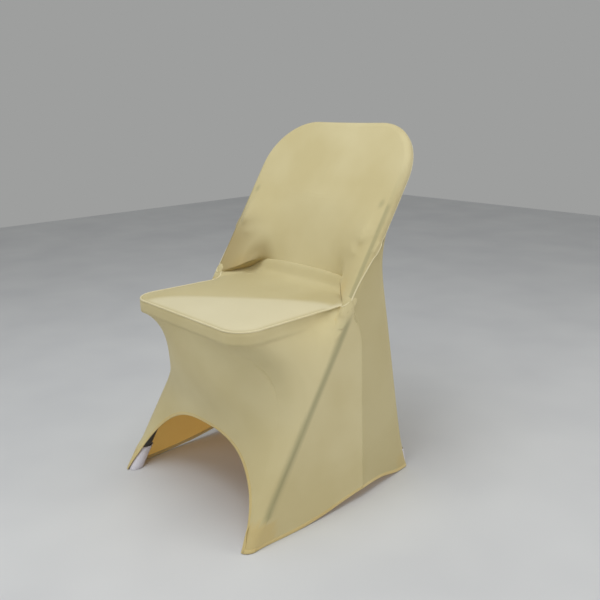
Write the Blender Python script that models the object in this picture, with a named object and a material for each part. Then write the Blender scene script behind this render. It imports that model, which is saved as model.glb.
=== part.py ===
"""A steel folding chair dressed in a stretch-fabric cover, as separate solids.

Metres, +Z up. The chair faces -Y and +X is the right-hand side of someone who looks at its front.
The origin is on the floor, under the middle of the chair's bounding box.

The main frame is one bent tube, an upside-down U that leans back by LEAN: it is both front legs and the
backrest's edge. The seat turns on it at SEAT_PIVOT, the rear legs turn on it at LEG_PIVOT, and a stud on each
rear leg runs in a curved slot in the seat's side plates, so all of it folds flat in one motion.
The fabric is thin closed shells: a sleeve on the backrest, a seat cover, skirts and four foot pockets.
"""

import math

import bmesh
import bpy
import numpy as np
from mathutils import Matrix, Vector

# Main frame
LEAN = math.radians(32.68)
FOOT_Y = -0.2515
HALF_SPACING = 0.2206
FRAME_TOP = 0.7805
FRAME_CORNER = 0.118
FRAME_BOW = 0.008
TUBE_RADIUS = 0.0111
TUBE_WALL = 0.0012
BRACE_RADIUS = 0.008
FRONT_BRACE_Z = 0.285
PLATE_LOW_Z = 0.630
PLATE_THICK = 0.0015

# Rear legs
LEG_PIVOT_Z = 0.545
REAR_FOOT_Y = 0.2135
REAR_TOP_X = 0.1985
REAR_FOOT_X = 0.2095
LEG_RADIUS = 0.0095
LEG_ABOVE_PIVOT = 0.0078
REAR_BRACE_Z = 0.220

# Folding gear
SEAT_PIVOT_Z = 0.388
SEAT_FOLD = math.radians(57.2)
LEG_FOLD = math.radians(-38.3)
STUD_Z = 0.390
SIDE_PLATE_X = 0.1835
SIDE_PLATE_THICK = 0.0025
SLOT_HALF_WIDTH = 0.0072
SLOT_MARGIN = 0.0075
SLOT_REAR_MARGIN = 0.0032
ROLLER_RADIUS = 0.0065
PIN_RADIUS = 0.004
HEAD_RADIUS = 0.0075
HEAD_HEIGHT = 0.0016

# Seat
SEAT_BOTTOM_Z = 0.400
BOARD_THICK = 0.008
SEAT_EDGE_Z = 0.428
SEAT_CROWN = 0.010
SEAT_FRONT_Y = -0.2350
SEAT_REAR_Y = 0.0895
SEAT_FRONT_HALF = 0.1950
SEAT_TAPER = 0.0380
SEAT_WIDTH_Y = -0.2085
SEAT_FRONT_CORNER = 0.050
SEAT_REAR_CORNER = 0.022
SEAT_CENTRE_Y = -0.08
LUMBAR_DEPTH = 0.074
PIPING_RADIUS = 0.0016

# Feet and fabric
GAP = 0.0003
CLOTH = 0.0010
CAP_WALL = 0.0015
CAP_TOP_Z = 0.034
POCKET_TOP_Z = 0.050
SLEEVE_RADIUS = TUBE_RADIUS + 0.0006
FABRIC_OFF_TUBE = 0.0150
SIDE_X = HALF_SPACING + FABRIC_OFF_TUBE
SIDE_SPREAD_Z = 0.033
SKIRT_TOP_Z = 0.4008
HEM_SIDE_X = 0.2420
ARCH_Z = 0.172
REAR_ARCH_Z = 0.125
SEAM_Y = 0.0565
REAR_CORNER_CLEAR = 0.0035
SEAM_TOP_Y = 0.0265
SEAM_TOP_Z = 0.450
TUBE_SIDES = 16
TURNED_SIDES = 12

UP_FRAME = Vector((0, math.sin(LEAN), math.cos(LEAN)))
OUT_FRAME = Vector((0, -math.cos(LEAN), math.sin(LEAN)))


# ---------------------------------------------------------------- geometry of the frame and the fold
def frame_y(z):
    """Y of the main tube's centre line at height z."""
    return FOOT_Y + math.tan(LEAN) * z


def on_frame(x, along, out=0.0):
    """A point given in the main frame's own plane: along it from the floor, and out of it to the front."""
    return Vector((x, FOOT_Y, 0)) + UP_FRAME * along + OUT_FRAME * out


SEAT_PIVOT = Vector((0, frame_y(SEAT_PIVOT_Z), SEAT_PIVOT_Z))
LEG_PIVOT = Vector((0, frame_y(LEG_PIVOT_Z), LEG_PIVOT_Z))
FRAME_LENGTH = FRAME_TOP / math.cos(LEAN)
SLEEVE_LOW = (PLATE_LOW_Z - 0.010) / math.cos(LEAN)


def rear_leg_point(z):
    """The rear leg's centre line, on the +X side, at height z."""
    share = (LEG_PIVOT_Z - z) / LEG_PIVOT_Z
    x = REAR_TOP_X + (REAR_FOOT_X - REAR_TOP_X) * share
    return Vector((x, LEG_PIVOT.y + (REAR_FOOT_Y - LEG_PIVOT.y) * share, z))


def turned(point, centre, angle):
    return centre + Matrix.Rotation(angle, 3, "X") @ (point - centre)


def slot_path(steps=14):
    """Where the stud's centre passes through the seat's side plate, from open to folded, at rest."""
    stud = rear_leg_point(STUD_Z)
    stud.x = 0
    path = []
    for step in range(steps + 1):
        share = step / steps
        in_world = turned(stud, LEG_PIVOT, LEG_FOLD * share)
        path.append(turned(in_world, SEAT_PIVOT, -SEAT_FOLD * share))
    return path


def bow(x):
    """How far the backrest bows to the back, from nothing at the tubes to the most in the middle."""
    return FRAME_BOW * max(0.0, 1 - (x / HALF_SPACING) ** 2)


def frame_outline(steps):
    """Half of the bent tube's centre line, as (x, along, outward x, outward along), from top middle down."""
    flat = HALF_SPACING - FRAME_CORNER
    centre_along = FRAME_LENGTH - FRAME_CORNER
    points = [(flat * k / 3, FRAME_LENGTH, 0.0, 1.0) for k in range(3)]
    for k in range(steps + 1):
        angle = math.pi / 2 * k / steps
        out = (math.sin(angle), math.cos(angle))
        points.append((flat + FRAME_CORNER * out[0], centre_along + FRAME_CORNER * out[1], *out))
    return points


def seat_half_width(y):
    return SEAT_FRONT_HALF - SEAT_TAPER * (y - SEAT_WIDTH_Y)


def seat_outline(inset=0.0, arc_steps=6, side_steps=6):
    """The seat's plan as a loop of (x, y), anticlockwise from above, moved in by inset."""
    front, rear = SEAT_FRONT_Y + inset, SEAT_REAR_Y - inset
    slope = math.atan(SEAT_TAPER)
    right = []
    for radius, y_edge, sign, start, end in (
        (SEAT_FRONT_CORNER - inset, front, 1, -math.pi / 2, -slope),
        (SEAT_REAR_CORNER - inset, rear, -1, -slope, math.pi / 2),
    ):
        cy = y_edge + sign * radius
        cx = seat_half_width(cy) - inset - radius
        for k in range(arc_steps + 1):
            angle = start + (end - start) * k / arc_steps
            right.append((cx + radius * math.cos(angle), cy + radius * math.sin(angle)))
        if sign == 1:
            y_end = rear - SEAT_REAR_CORNER
            x0, y0 = right[-1]
            for k in range(1, side_steps):
                y = y0 + (y_end - y0) * k / side_steps
                right.append((x0 - SEAT_TAPER * (y - y0), y))
    left = [(-x, y) for x, y in reversed(right)]
    return right + left


# ---------------------------------------------------------------- mesh helpers
def material(name, color, roughness, metallic=0.0):
    made = bpy.data.materials.new(name)
    made.use_nodes = True
    shader = made.node_tree.nodes["Principled BSDF"]
    shader.inputs["Base Color"].default_value = (*color, 1)
    shader.inputs["Roughness"].default_value = roughness
    shader.inputs["Metallic"].default_value = metallic
    return made


def add_object(name, mesh, look, parent=None, smooth=True):
    obj = bpy.data.objects.new(name, mesh)
    bpy.context.scene.collection.objects.link(obj)
    mesh.materials.append(look)
    if smooth:
        mesh.shade_smooth()
        mesh.set_sharp_from_angle(angle=math.radians(40))
    if parent is not None:
        bpy.context.view_layer.update()
        obj.parent = parent
        obj.matrix_parent_inverse = parent.matrix_world.inverted()
    return obj


def mesh_from(name, build):
    mesh = bpy.data.meshes.new(name)
    bm = bmesh.new()
    build(bm)
    bmesh.ops.recalc_face_normals(bm, faces=bm.faces)
    bm.to_mesh(mesh)
    bm.free()
    return mesh


def ring(bm, centre, across, up, radius_a, radius_b=None, sides=TUBE_SIDES):
    radius_b = radius_a if radius_b is None else radius_b
    verts = []
    for k in range(sides):
        angle = 2 * math.pi * k / sides
        turn = across * radius_a * math.cos(angle) + up * radius_b * math.sin(angle)
        verts.append(bm.verts.new(centre + turn))
    return verts


def join_rings(bm, first, second):
    count = len(first)
    for k in range(count):
        bm.faces.new((first[k], first[(k + 1) % count], second[(k + 1) % count], second[k]))


def close_rings(bm, rings):
    """Joins the rings in turn and fills both ends."""
    for one, two in zip(rings, rings[1:]):
        join_rings(bm, one, two)
    bm.faces.new(rings[0])
    bm.faces.new(rings[-1])


def tube(bm, path, radius, wall=None, across=None):
    """A round tube along a path, hollow with open ends if it has a wall and solid if not."""
    surfaces = []
    for size in [radius] + ([radius - wall] if wall else []):
        rings = []
        for k, point in enumerate(path):
            ahead = path[min(k + 1, len(path) - 1)] - path[max(k - 1, 0)]
            side = across if across is not None else Vector((1, 0, 0))
            up = ahead.cross(side).normalized()
            rings.append(ring(bm, point, up.cross(ahead).normalized(), up, size))
        for one, two in zip(rings, rings[1:]):
            join_rings(bm, one, two)
        surfaces.append(rings)
    if wall:
        join_rings(bm, surfaces[0][0], surfaces[1][0])
        join_rings(bm, surfaces[0][-1], surfaces[1][-1])
    else:
        bm.faces.new(surfaces[0][0])
        bm.faces.new(surfaces[0][-1])


def turned_piece(bm, profile, centre, sides=TURNED_SIDES):
    """A body turned about an X-wise axis through centre. The profile is a loop of (radius, x)."""
    rings = []
    for radius, x in profile:
        where = Vector((x, centre.y, centre.z))
        if radius == 0:
            rings.append([bm.verts.new(where)])
        else:
            rings.append(ring(bm, where, Vector((0, 1, 0)), Vector((0, 0, 1)), radius, sides=sides))
    solid = profile[0][0] == 0
    pairs = list(zip(rings, rings[1:])) + ([] if solid else [(rings[-1], rings[0])])
    for one, two in pairs:
        if len(one) == 1 or len(two) == 1:
            tip, rim = (one[0], two) if len(one) == 1 else (two[0], one)
            for k in range(sides):
                bm.faces.new((tip, rim[k], rim[(k + 1) % sides]))
        else:
            join_rings(bm, one, two)


def foot_cup(bm, axis_point, stretch, outer, inner, bottom, floor, top):
    """A cup on a leaning leg, with level rings: stretch is how much longer they are front to back."""
    x_dir, y_dir = Vector((1, 0, 0)), Vector((0, 1, 0))
    rings = []
    for radius, z in ((outer, bottom), (outer, top), (inner, top), (inner, floor)):
        rings.append(ring(bm, axis_point(z), x_dir, y_dir, radius, radius * stretch))
    close_rings(bm, rings)


def shell_from_grid(bm, grid, thickness, loop=False):
    """A closed shell: the grid is its inner side, and the outer side stands off by thickness.

    grid is rows x columns x 3. Its normals point out where columns run from the front to +X to the back.
    """
    across = np.gradient(grid, axis=1)
    down = np.gradient(grid, axis=0)
    normal = np.cross(down, across)
    normal /= np.linalg.norm(normal, axis=2, keepdims=True)
    rows, columns = grid.shape[:2]
    sides = []
    for layer in (grid, grid + normal * thickness):
        sides.append([[bm.verts.new(layer[r, c]) for c in range(columns)] for r in range(rows)])
    inner, outer = sides
    for r in range(rows - 1):
        for c in range(columns - 1):
            for side in sides:
                bm.faces.new((side[r][c], side[r][c + 1], side[r + 1][c + 1], side[r + 1][c]))
    for c in range(columns - 1):
        for r in (0, rows - 1):
            bm.faces.new((inner[r][c], inner[r][c + 1], outer[r][c + 1], outer[r][c]))
    for r in range(rows - 1):
        for c in (0, columns - 1):
            bm.faces.new((inner[r][c], inner[r + 1][c], outer[r + 1][c], outer[r][c]))


def smooth(t):
    t = min(1.0, max(0.0, t))
    return t * t * (3 - 2 * t)


def through(knots, t):
    """A smooth curve (Catmull-Rom) through (t, value) knots with rising t."""
    ts = [k[0] for k in knots]
    vs = [k[1] for k in knots]
    slopes = np.gradient(vs, ts)
    t = min(ts[-1], max(ts[0], t))
    k = min(len(ts) - 2, max(0, int(np.searchsorted(ts, t)) - 1))
    span = ts[k + 1] - ts[k]
    s = (t - ts[k]) / span
    a = (1 + 2 * s) * (1 - s) ** 2
    b = s * (1 - s) ** 2 * span
    c = s * s * (3 - 2 * s)
    d = s * s * (s - 1) * span
    return float(a * vs[k] + b * slopes[k] + c * vs[k + 1] + d * slopes[k + 1])


# ---------------------------------------------------------------- steelwork
def main_frame(look, parent):
    outline = frame_outline(6)
    half = [on_frame(x, along, -bow(x)) for x, along, _, _ in outline]
    low = (CAP_WALL + CLOTH + 2 * GAP + TUBE_RADIUS * math.sin(LEAN) + 0.001) / math.cos(LEAN)
    straight = [on_frame(HALF_SPACING, along) for along in (0.60, low)]
    right = half + straight
    left = [Vector((-p.x, p.y, p.z)) for p in reversed(right[1:])]
    path = left + right

    def build(bm):
        rings = [[], []]
        for k, point in enumerate(path):
            ahead = (path[min(k + 1, len(path) - 1)] - path[max(k - 1, 0)]).normalized()
            out = (OUT_FRAME - ahead * OUT_FRAME.dot(ahead)).normalized()
            side = ahead.cross(out)
            rings[0].append(ring(bm, point, side, out, TUBE_RADIUS))
            rings[1].append(ring(bm, point, side, out, TUBE_RADIUS - TUBE_WALL))
        for layer in rings:
            for one, two in zip(layer, layer[1:]):
                join_rings(bm, one, two)
        join_rings(bm, rings[0][0], rings[1][0])
        join_rings(bm, rings[0][-1], rings[1][-1])

    frame = add_object("main_frame", mesh_from("main_frame", build), look, parent)
    for name, centre in (("seat_pivot", SEAT_PIVOT), ("leg_pivot", LEG_PIVOT)):
        drill(frame, name, centre, PIN_RADIUS + GAP, 0.26)
    return frame


def drill(obj, name, centre, radius, reach):
    """Cuts a hole along X right through obj, from -reach to +reach."""
    profile = [(0, -reach), (radius, -reach), (radius, reach), (0, reach)]
    mesh = mesh_from(name, lambda bm: turned_piece(bm, profile, centre))
    cutter = bpy.data.objects.new(f"cutter_{obj.name}_{name}", mesh)
    bpy.context.scene.collection.objects.link(cutter)
    cutter.hide_render = True
    cutter.display_type = "WIRE"
    cut = obj.modifiers.new(name, "BOOLEAN")
    cut.operation = "DIFFERENCE"
    cut.object = cutter


def back_plate(look, parent):
    """The pressed steel sheet that fills the top of the U, bowed with the top rail."""
    clear = TUBE_RADIUS + 5 * GAP
    half = HALF_SPACING - clear
    flat = HALF_SPACING - FRAME_CORNER
    corner = FRAME_CORNER - clear
    low = PLATE_LOW_Z / math.cos(LEAN)
    xs = [half * math.sin(math.pi / 2 * k / 9) for k in range(-9, 10)]

    def top(x):
        beyond = max(0.0, abs(x) - flat)
        return FRAME_LENGTH - FRAME_CORNER + math.sqrt(max(0.0, corner**2 - beyond**2))

    def build(bm):
        columns = []
        for x in xs:
            rows = []
            for k in range(6):
                along = low + (top(x) - low) * k / 5
                pair = [on_frame(x, along, -bow(x) + side * PLATE_THICK / 2) for side in (-1, 1)]
                rows.append([bm.verts.new(p) for p in pair])
            columns.append(rows)
        for one, two in zip(columns, columns[1:]):
            for k in range(5):
                for side in (0, 1):
                    bm.faces.new((one[k][side], two[k][side], two[k + 1][side], one[k + 1][side]))
            for k in (0, 5):
                bm.faces.new((one[k][0], two[k][0], two[k][1], one[k][1]))
        for rows in (columns[0], columns[-1]):
            for k in range(5):
                bm.faces.new((rows[k][0], rows[k + 1][0], rows[k + 1][1], rows[k][1]))

    return add_object("back_plate", mesh_from("back_plate", build), look, parent)


def brace(name, y, z, half_length, look, parent):
    def build(bm):
        ends = [Vector((side * half_length, y, z)) for side in (-1, 1)]
        tube(bm, ends, BRACE_RADIUS, TUBE_WALL, across=Vector((0, 0, 1)))

    return add_object(name, mesh_from(name, build), look, parent)


def rear_leg(side, look, parent):
    name = "rear_leg_right" if side > 0 else "rear_leg_left"
    top, foot = rear_leg_point(LEG_PIVOT_Z), rear_leg_point(0)
    down = (foot - top).normalized()
    start = top - down * LEG_ABOVE_PIVOT
    end = rear_leg_point(CAP_WALL + CLOTH + 2 * GAP + 0.004)
    path = [Vector((side * p.x, p.y, p.z)) for p in (start, (start + end) / 2, end)]
    mesh = mesh_from(name, lambda bm: tube(bm, path, LEG_RADIUS, TUBE_WALL, across=Vector((1, 0, 0))))
    leg = add_object(name, mesh, look, parent)
    drill(leg, "leg_pivot", LEG_PIVOT, PIN_RADIUS + GAP, 0.26)
    drill(leg, "stud", rear_leg_point(STUD_Z), PIN_RADIUS + GAP, 0.26)
    return leg


def leg_top_plug(side, look, parent):
    """The plastic plug pushed into the open top of a rear leg."""
    def build(bm):
        top, foot = rear_leg_point(LEG_PIVOT_Z), rear_leg_point(0)
        up = (top - foot).normalized()
        inner = LEG_RADIUS - TUBE_WALL - GAP
        levels = ((inner, -0.0026), (inner, GAP), (LEG_RADIUS, GAP), (LEG_RADIUS - 0.001, 0.0014))
        rings = []
        for radius, height in levels:
            at = top + up * (LEG_ABOVE_PIVOT + height)
            axis = Vector((side * up.x, up.y, up.z))
            across = axis.cross(Vector((0, 1, 0))).normalized()
            rings.append(ring(bm, Vector((side * at.x, at.y, at.z)), across, axis.cross(across), radius))
        close_rings(bm, rings)

    name = "leg_top_plug_right" if side > 0 else "leg_top_plug_left"
    return add_object(name, mesh_from(name, build), look, parent)


def turned_pair(name, profile, centre, look, parent):
    """Two turned pieces, at -X and +X."""
    for side, word in ((-1, "left"), (1, "right")):
        sided = [(radius, side * x) for radius, x in profile]
        mesh = mesh_from(name, lambda bm: turned_piece(bm, sided, centre))
        add_object(f"{name}_{word}", mesh, look, parent)


def pin_profile(inner_x, outer_x, head_radius=HEAD_RADIUS):
    """A headed pin from inner_x to outer_x, with its domed head outside."""
    dome = head_radius * 0.7
    return [
        (0, inner_x),
        (PIN_RADIUS, inner_x),
        (PIN_RADIUS, outer_x),
        (head_radius, outer_x),
        (head_radius, outer_x + HEAD_HEIGHT * 0.4),
        (dome, outer_x + HEAD_HEIGHT),
        (0, outer_x + HEAD_HEIGHT),
    ]


def ring_profile(inner, outer, x0, x1):
    return [(inner, x0), (outer, x0), (outer, x1), (inner, x1)]


def pivots(steel, parent):
    """The pins, spacers and nuts of the seat's and the rear legs' pivots, all fixed to the main frame."""
    tube_in = HALF_SPACING - TUBE_RADIUS
    tube_out = HALF_SPACING + TUBE_RADIUS
    plate_out = SIDE_PLATE_X + SIDE_PLATE_THICK
    loose = PIN_RADIUS + GAP
    nut_out = SIDE_PLATE_X - GAP
    turned_pair("seat_pivot_bolt", pin_profile(nut_out - 0.008, tube_out + GAP), SEAT_PIVOT, steel, parent)
    spacer = ring_profile(loose, ROLLER_RADIUS, plate_out + GAP, tube_in - GAP)
    turned_pair("seat_pivot_spacer", spacer, SEAT_PIVOT, steel, parent)
    nut = ring_profile(loose, 0.0072, nut_out - 0.005, nut_out)
    turned_pair("seat_pivot_nut", nut, SEAT_PIVOT, steel, parent)
    leg_in = REAR_TOP_X - LEG_RADIUS
    turned_pair("leg_pivot_bolt", pin_profile(leg_in - 0.0035, tube_out + GAP), LEG_PIVOT, steel, parent)
    washer = ring_profile(loose, 0.008, REAR_TOP_X + LEG_RADIUS + GAP, tube_in - GAP)
    turned_pair("leg_pivot_washer", washer, LEG_PIVOT, steel, parent)
    nut = ring_profile(loose, 0.0072, leg_in - GAP - 0.003, leg_in - GAP)
    turned_pair("leg_pivot_nut", nut, LEG_PIVOT, steel, parent)


def slide_studs(steel, nylon, parent):
    """The stud through each rear leg, and the nylon roller on it that runs in the seat's slot."""
    at = rear_leg_point(STUD_Z)
    plate_mid = SIDE_PLATE_X + SIDE_PLATE_THICK / 2
    inner_end = SIDE_PLATE_X - 0.0028
    stud = [
        (0, inner_end - 0.0015),
        (ROLLER_RADIUS + 0.002, inner_end - 0.0015),
        (ROLLER_RADIUS + 0.002, inner_end),
        (PIN_RADIUS, inner_end),
        (PIN_RADIUS, at.x + LEG_RADIUS + GAP),
        (HEAD_RADIUS * 0.9, at.x + LEG_RADIUS + GAP),
        (HEAD_RADIUS * 0.6, at.x + LEG_RADIUS + GAP + 0.0014),
        (0, at.x + LEG_RADIUS + GAP + 0.0014),
    ]
    turned_pair("slide_stud", stud, at, steel, parent)
    roller = ring_profile(PIN_RADIUS + GAP, ROLLER_RADIUS, inner_end + GAP, plate_mid + 0.0030)
    turned_pair("slide_roller", roller, at, nylon, parent)


def side_plate(side, look, parent):
    """The seat's side plate: pivot hole, curved slot for the stud, and a flange under the seat board."""
    name = "side_plate_right" if side > 0 else "side_plate_left"
    path = slot_path()
    top = SEAT_BOTTOM_Z - GAP
    reach = SLOT_HALF_WIDTH + SLOT_MARGIN
    front, rear = SEAT_PIVOT.y - 0.045, path[0].y + SLOT_HALF_WIDTH + SLOT_REAR_MARGIN
    lower = []
    for k, point in enumerate(path):
        ahead = (path[min(k + 1, len(path) - 1)] - path[max(k - 1, 0)]).normalized()
        outward = Vector((0, -ahead.z, ahead.y))
        edge = point + outward * reach
        lower.append(Vector((0, min(edge.y, rear), edge.z)))
    lower.append(Vector((0, SEAT_PIVOT.y - 0.004, SEAT_PIVOT.z - 0.017)))
    outline = [(front, top), (rear, top)] + [(p.y, p.z) for p in lower] + [(front, SEAT_PIVOT.z - 0.004)]
    inner, outer = side * SIDE_PLATE_X, side * (SIDE_PLATE_X + SIDE_PLATE_THICK)
    flange_x = side * (SIDE_PLATE_X - 0.020)

    def build(bm):
        ends = [[bm.verts.new((x, y, z)) for y, z in outline] for x in (inner, outer)]
        join_rings(bm, ends[0], ends[1])
        for end in ends:
            bm.faces.new(end)

    plate = add_object(name, mesh_from(name, build), look, parent, smooth=False)
    flange = bpy.data.objects.new(f"cutter_{name}_flange", mesh_from("flange", lambda bm: box(
        bm, (flange_x, front, top - SIDE_PLATE_THICK), ((inner + outer) / 2, SEAT_REAR_Y - 0.006, top))))
    slot_mesh = mesh_from("slot", lambda bm: slot_cutter(bm, path, side))
    slot = bpy.data.objects.new(f"cutter_{name}_slot", slot_mesh)
    for helper, operation in ((flange, "UNION"), (slot, "DIFFERENCE")):
        bpy.context.scene.collection.objects.link(helper)
        helper.hide_render = True
        helper.display_type = "WIRE"
        change = plate.modifiers.new(helper.name, "BOOLEAN")
        change.operation = operation
        change.object = helper
    drill(plate, "pivot", SEAT_PIVOT, PIN_RADIUS + GAP, 0.26)
    return plate


def box(bm, low, high):
    spans = [sorted(pair) for pair in zip(low, high)]
    corners = bmesh.ops.create_cube(bm, size=1)["verts"]
    for vert in corners:
        for axis in range(3):
            vert.co[axis] = spans[axis][vert.co[axis] > 0]


def slot_cutter(bm, path, side):
    """The slot's shape: its path widened to both sides, with round ends."""
    x0, x1 = side * (SIDE_PLATE_X - 0.004), side * (SIDE_PLATE_X + SIDE_PLATE_THICK + 0.004)
    near, far = [], []
    for k, point in enumerate(path):
        ahead = (path[min(k + 1, len(path) - 1)] - path[max(k - 1, 0)]).normalized()
        across = Vector((0, -ahead.z, ahead.y)) * SLOT_HALF_WIDTH
        near.append(point + across)
        far.append(point - across)
        if k in (0, len(path) - 1):
            first = ahead * (-SLOT_HALF_WIDTH if k == 0 else SLOT_HALF_WIDTH)
            cap = []
            for step in (1, 2, 3):
                angle = math.pi * step / 4
                cap.append(point + across * math.cos(angle) + first * math.sin(angle))
            if k == 0:
                start_cap = cap
            else:
                end_cap = cap
    loop = near + end_cap + far[::-1] + start_cap[::-1]
    ends = [[bm.verts.new((x, p.y, p.z)) for p in loop] for x in (x0, x1)]
    join_rings(bm, ends[0], ends[1])
    for end in ends:
        bm.faces.new(end)


# ---------------------------------------------------------------- seat
def plan_solid(bm, layers):
    """A solid whose level sections are the seat's plan: layers are (inset, z), closed at both ends."""
    rings = []
    for inset, z in layers:
        rings.append([bm.verts.new((x, y, z)) for x, y in seat_outline(inset)])
    close_rings(bm, rings)


def crown_layers(edge_z):
    """(scale, z) rings from the edge, at edge_z, to the middle of a crowned top."""
    return [(scale, edge_z + SEAT_CROWN * (1 - scale**2) ** 0.75) for scale in (0.97, 0.9, 0.75, 0.5, 0.2)]


def crowned_body(bm, inset, bottom_z, edge_z):
    """A closed body with the seat's plan, straight sides and a crowned top."""
    plan = seat_outline(inset)
    rings = [[bm.verts.new((x, y, z)) for x, y in plan] for z in (bottom_z, edge_z)]
    for scale, z in crown_layers(edge_z):
        loop = [(x * scale, SEAT_CENTRE_Y + (y - SEAT_CENTRE_Y) * scale, z) for x, y in plan]
        rings.append([bm.verts.new(p) for p in loop])
    close_rings(bm, rings)
    return rings


def seat_pieces(wood, vinyl, steel, parent):
    under = CLOTH + PIPING_RADIUS + GAP + 0.0004
    board_top = SEAT_BOTTOM_Z + BOARD_THICK
    layers = [(under + 0.001, SEAT_BOTTOM_Z), (under + 0.001, board_top)]
    board = mesh_from("seat_board", lambda bm: plan_solid(bm, layers))
    add_object("seat_board", board, wood, parent)
    pad_edge = SEAT_EDGE_Z - CLOTH - 2 * GAP
    pad = mesh_from("seat_pad", lambda bm: crowned_body(bm, under, board_top + GAP, pad_edge))
    add_object("seat_pad", pad, vinyl, parent)

    top = SEAT_BOTTOM_Z - SIDE_PLATE_THICK - 2 * GAP
    for side, word in ((-1, "left"), (1, "right")):
        for number, back in enumerate((-0.030, 0.025, 0.072), 1):
            centre = Vector((side * (SIDE_PLATE_X - 0.011), SEAT_PIVOT.y + back, 0))
            name = f"seat_screw_{word}_{number}"
            add_object(name, mesh_from(name, lambda bm: screw_head(bm, centre, top)), steel, parent)


def screw_head(bm, centre, top):
    """A pan head, upside down under the side plate's flange."""
    rings = []
    for radius, z in ((0.0030, top - 0.0022), (0.0048, top - 0.0012), (0.0048, top)):
        at = centre + Vector((0, 0, z))
        rings.append(ring(bm, at, Vector((1, 0, 0)), Vector((0, 1, 0)), radius, sides=10))
    close_rings(bm, rings)


def seat_cover(look, parent):
    """The fabric over the seat: a crowned top and a band round the side, open below."""
    inner_inset = CLOTH + PIPING_RADIUS

    def build(bm):
        outer_plan, inner_plan = seat_outline(PIPING_RADIUS), seat_outline(inner_inset)
        low = SEAT_BOTTOM_Z + 0.0022

        def layer(plan, z):
            return [bm.verts.new((x, y, z)) for x, y in plan]

        rings = []
        for scale, z in reversed(crown_layers(SEAT_EDGE_Z)):
            plan = [(x * scale, SEAT_CENTRE_Y + (y - SEAT_CENTRE_Y) * scale) for x, y in outer_plan]
            rings.append(layer(plan, z))
        rings.append(layer(outer_plan, SEAT_EDGE_Z))
        rings.append(layer(outer_plan, low))
        rings.append(layer(inner_plan, low))
        rings.append(layer(inner_plan, SEAT_EDGE_Z - CLOTH))
        for scale, z in crown_layers(SEAT_EDGE_Z - CLOTH):
            plan = [(x * scale, SEAT_CENTRE_Y + (y - SEAT_CENTRE_Y) * scale) for x, y in inner_plan]
            rings.append(layer(plan, z))
        close_rings(bm, rings)

    add_object("seat_cover", mesh_from("seat_cover", build), look, parent)


def seat_piping(look, parent):
    """The corded seam round the seat's front and sides, just outside the cover."""
    def build(bm):
        plan = [p for p in seat_outline(0.0) if p[1] < SEAT_REAR_Y - 0.030]
        right = [p for p in plan if p[0] > 0]
        left = [p for p in plan if p[0] < 0]
        path = [Vector((x, y, SEAT_EDGE_Z - 0.0002)) for x, y in left[::1]]
        path += [Vector((x, y, SEAT_EDGE_Z - 0.0002)) for x, y in right]
        clear = PIPING_RADIUS * 0.85
        rings = []
        for k, point in enumerate(path):
            ahead = (path[min(k + 1, len(path) - 1)] - path[max(k - 1, 0)]).normalized()
            out = ahead.cross(Vector((0, 0, 1)))
            rings.append(ring(bm, point + out * 0.0003, out, Vector((0, 0, 1)), clear, sides=8))
        close_rings(bm, rings)

    add_object("seat_piping", mesh_from("seat_piping", build), look, parent)


# ---------------------------------------------------------------- fabric
def back_sleeve(look, parent):
    """The sleeve over the backrest: a bag, open below, round the top of the main frame."""
    def ring_rows(inner_radius):
        outline = frame_outline(8)
        end_along = SLEEVE_LOW
        corner_end = outline[-1][1]
        for share in (0.5, 1.0):
            outline.append((HALF_SPACING, corner_end + (end_along - corner_end) * share, 1.0, 0.0))
        spine_top = FRAME_LENGTH - FRAME_CORNER
        rows = []
        for k, (x, along, out_x, out_along) in enumerate(outline):
            share = smooth(k / (len(outline) - 1))
            spine = spine_top + (end_along - spine_top) * share
            if k == len(outline) - 1:
                spine = along
            row = []
            for sheet in (1, -1):
                points = []
                for step in range(4):
                    t = step / 4
                    px, pa = x * t, spine + (along - spine) * t
                    points.append(on_frame(px, pa, sheet * inner_radius - bow(px)))
                row.append(points)
            around = []
            for step in range(9):
                angle = math.pi / 2 - math.pi * step / 8
                reach = inner_radius * math.cos(angle)
                out = inner_radius * math.sin(angle) - bow(x)
                point = on_frame(x + out_x * reach, along + out_along * reach, out)
                around.append(point)
            rows.append(row[0] + around + row[1][::-1])
        return rows

    def build(bm):
        layers = []
        for radius in (SLEEVE_RADIUS, SLEEVE_RADIUS + CLOTH):
            half = ring_rows(radius)
            sides = []
            for side in (1, -1):
                sides.append([[bm.verts.new((side * p.x, p.y, p.z)) for p in row] for row in half])
            for rows in sides:
                for one, two in zip(rows, rows[1:]):
                    for k in range(len(one) - 1):
                        bm.faces.new((one[k], one[k + 1], two[k + 1], two[k]))
            layers.append(sides)
        for inner, outer in zip(*layers):
            for k in range(len(inner[-1]) - 1):
                bm.faces.new((inner[-1][k], inner[-1][k + 1], outer[-1][k + 1], outer[-1][k]))
        bmesh.ops.remove_doubles(bm, verts=bm.verts, dist=1e-6)

    add_object("back_sleeve", mesh_from("back_sleeve", build), look, parent)


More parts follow.
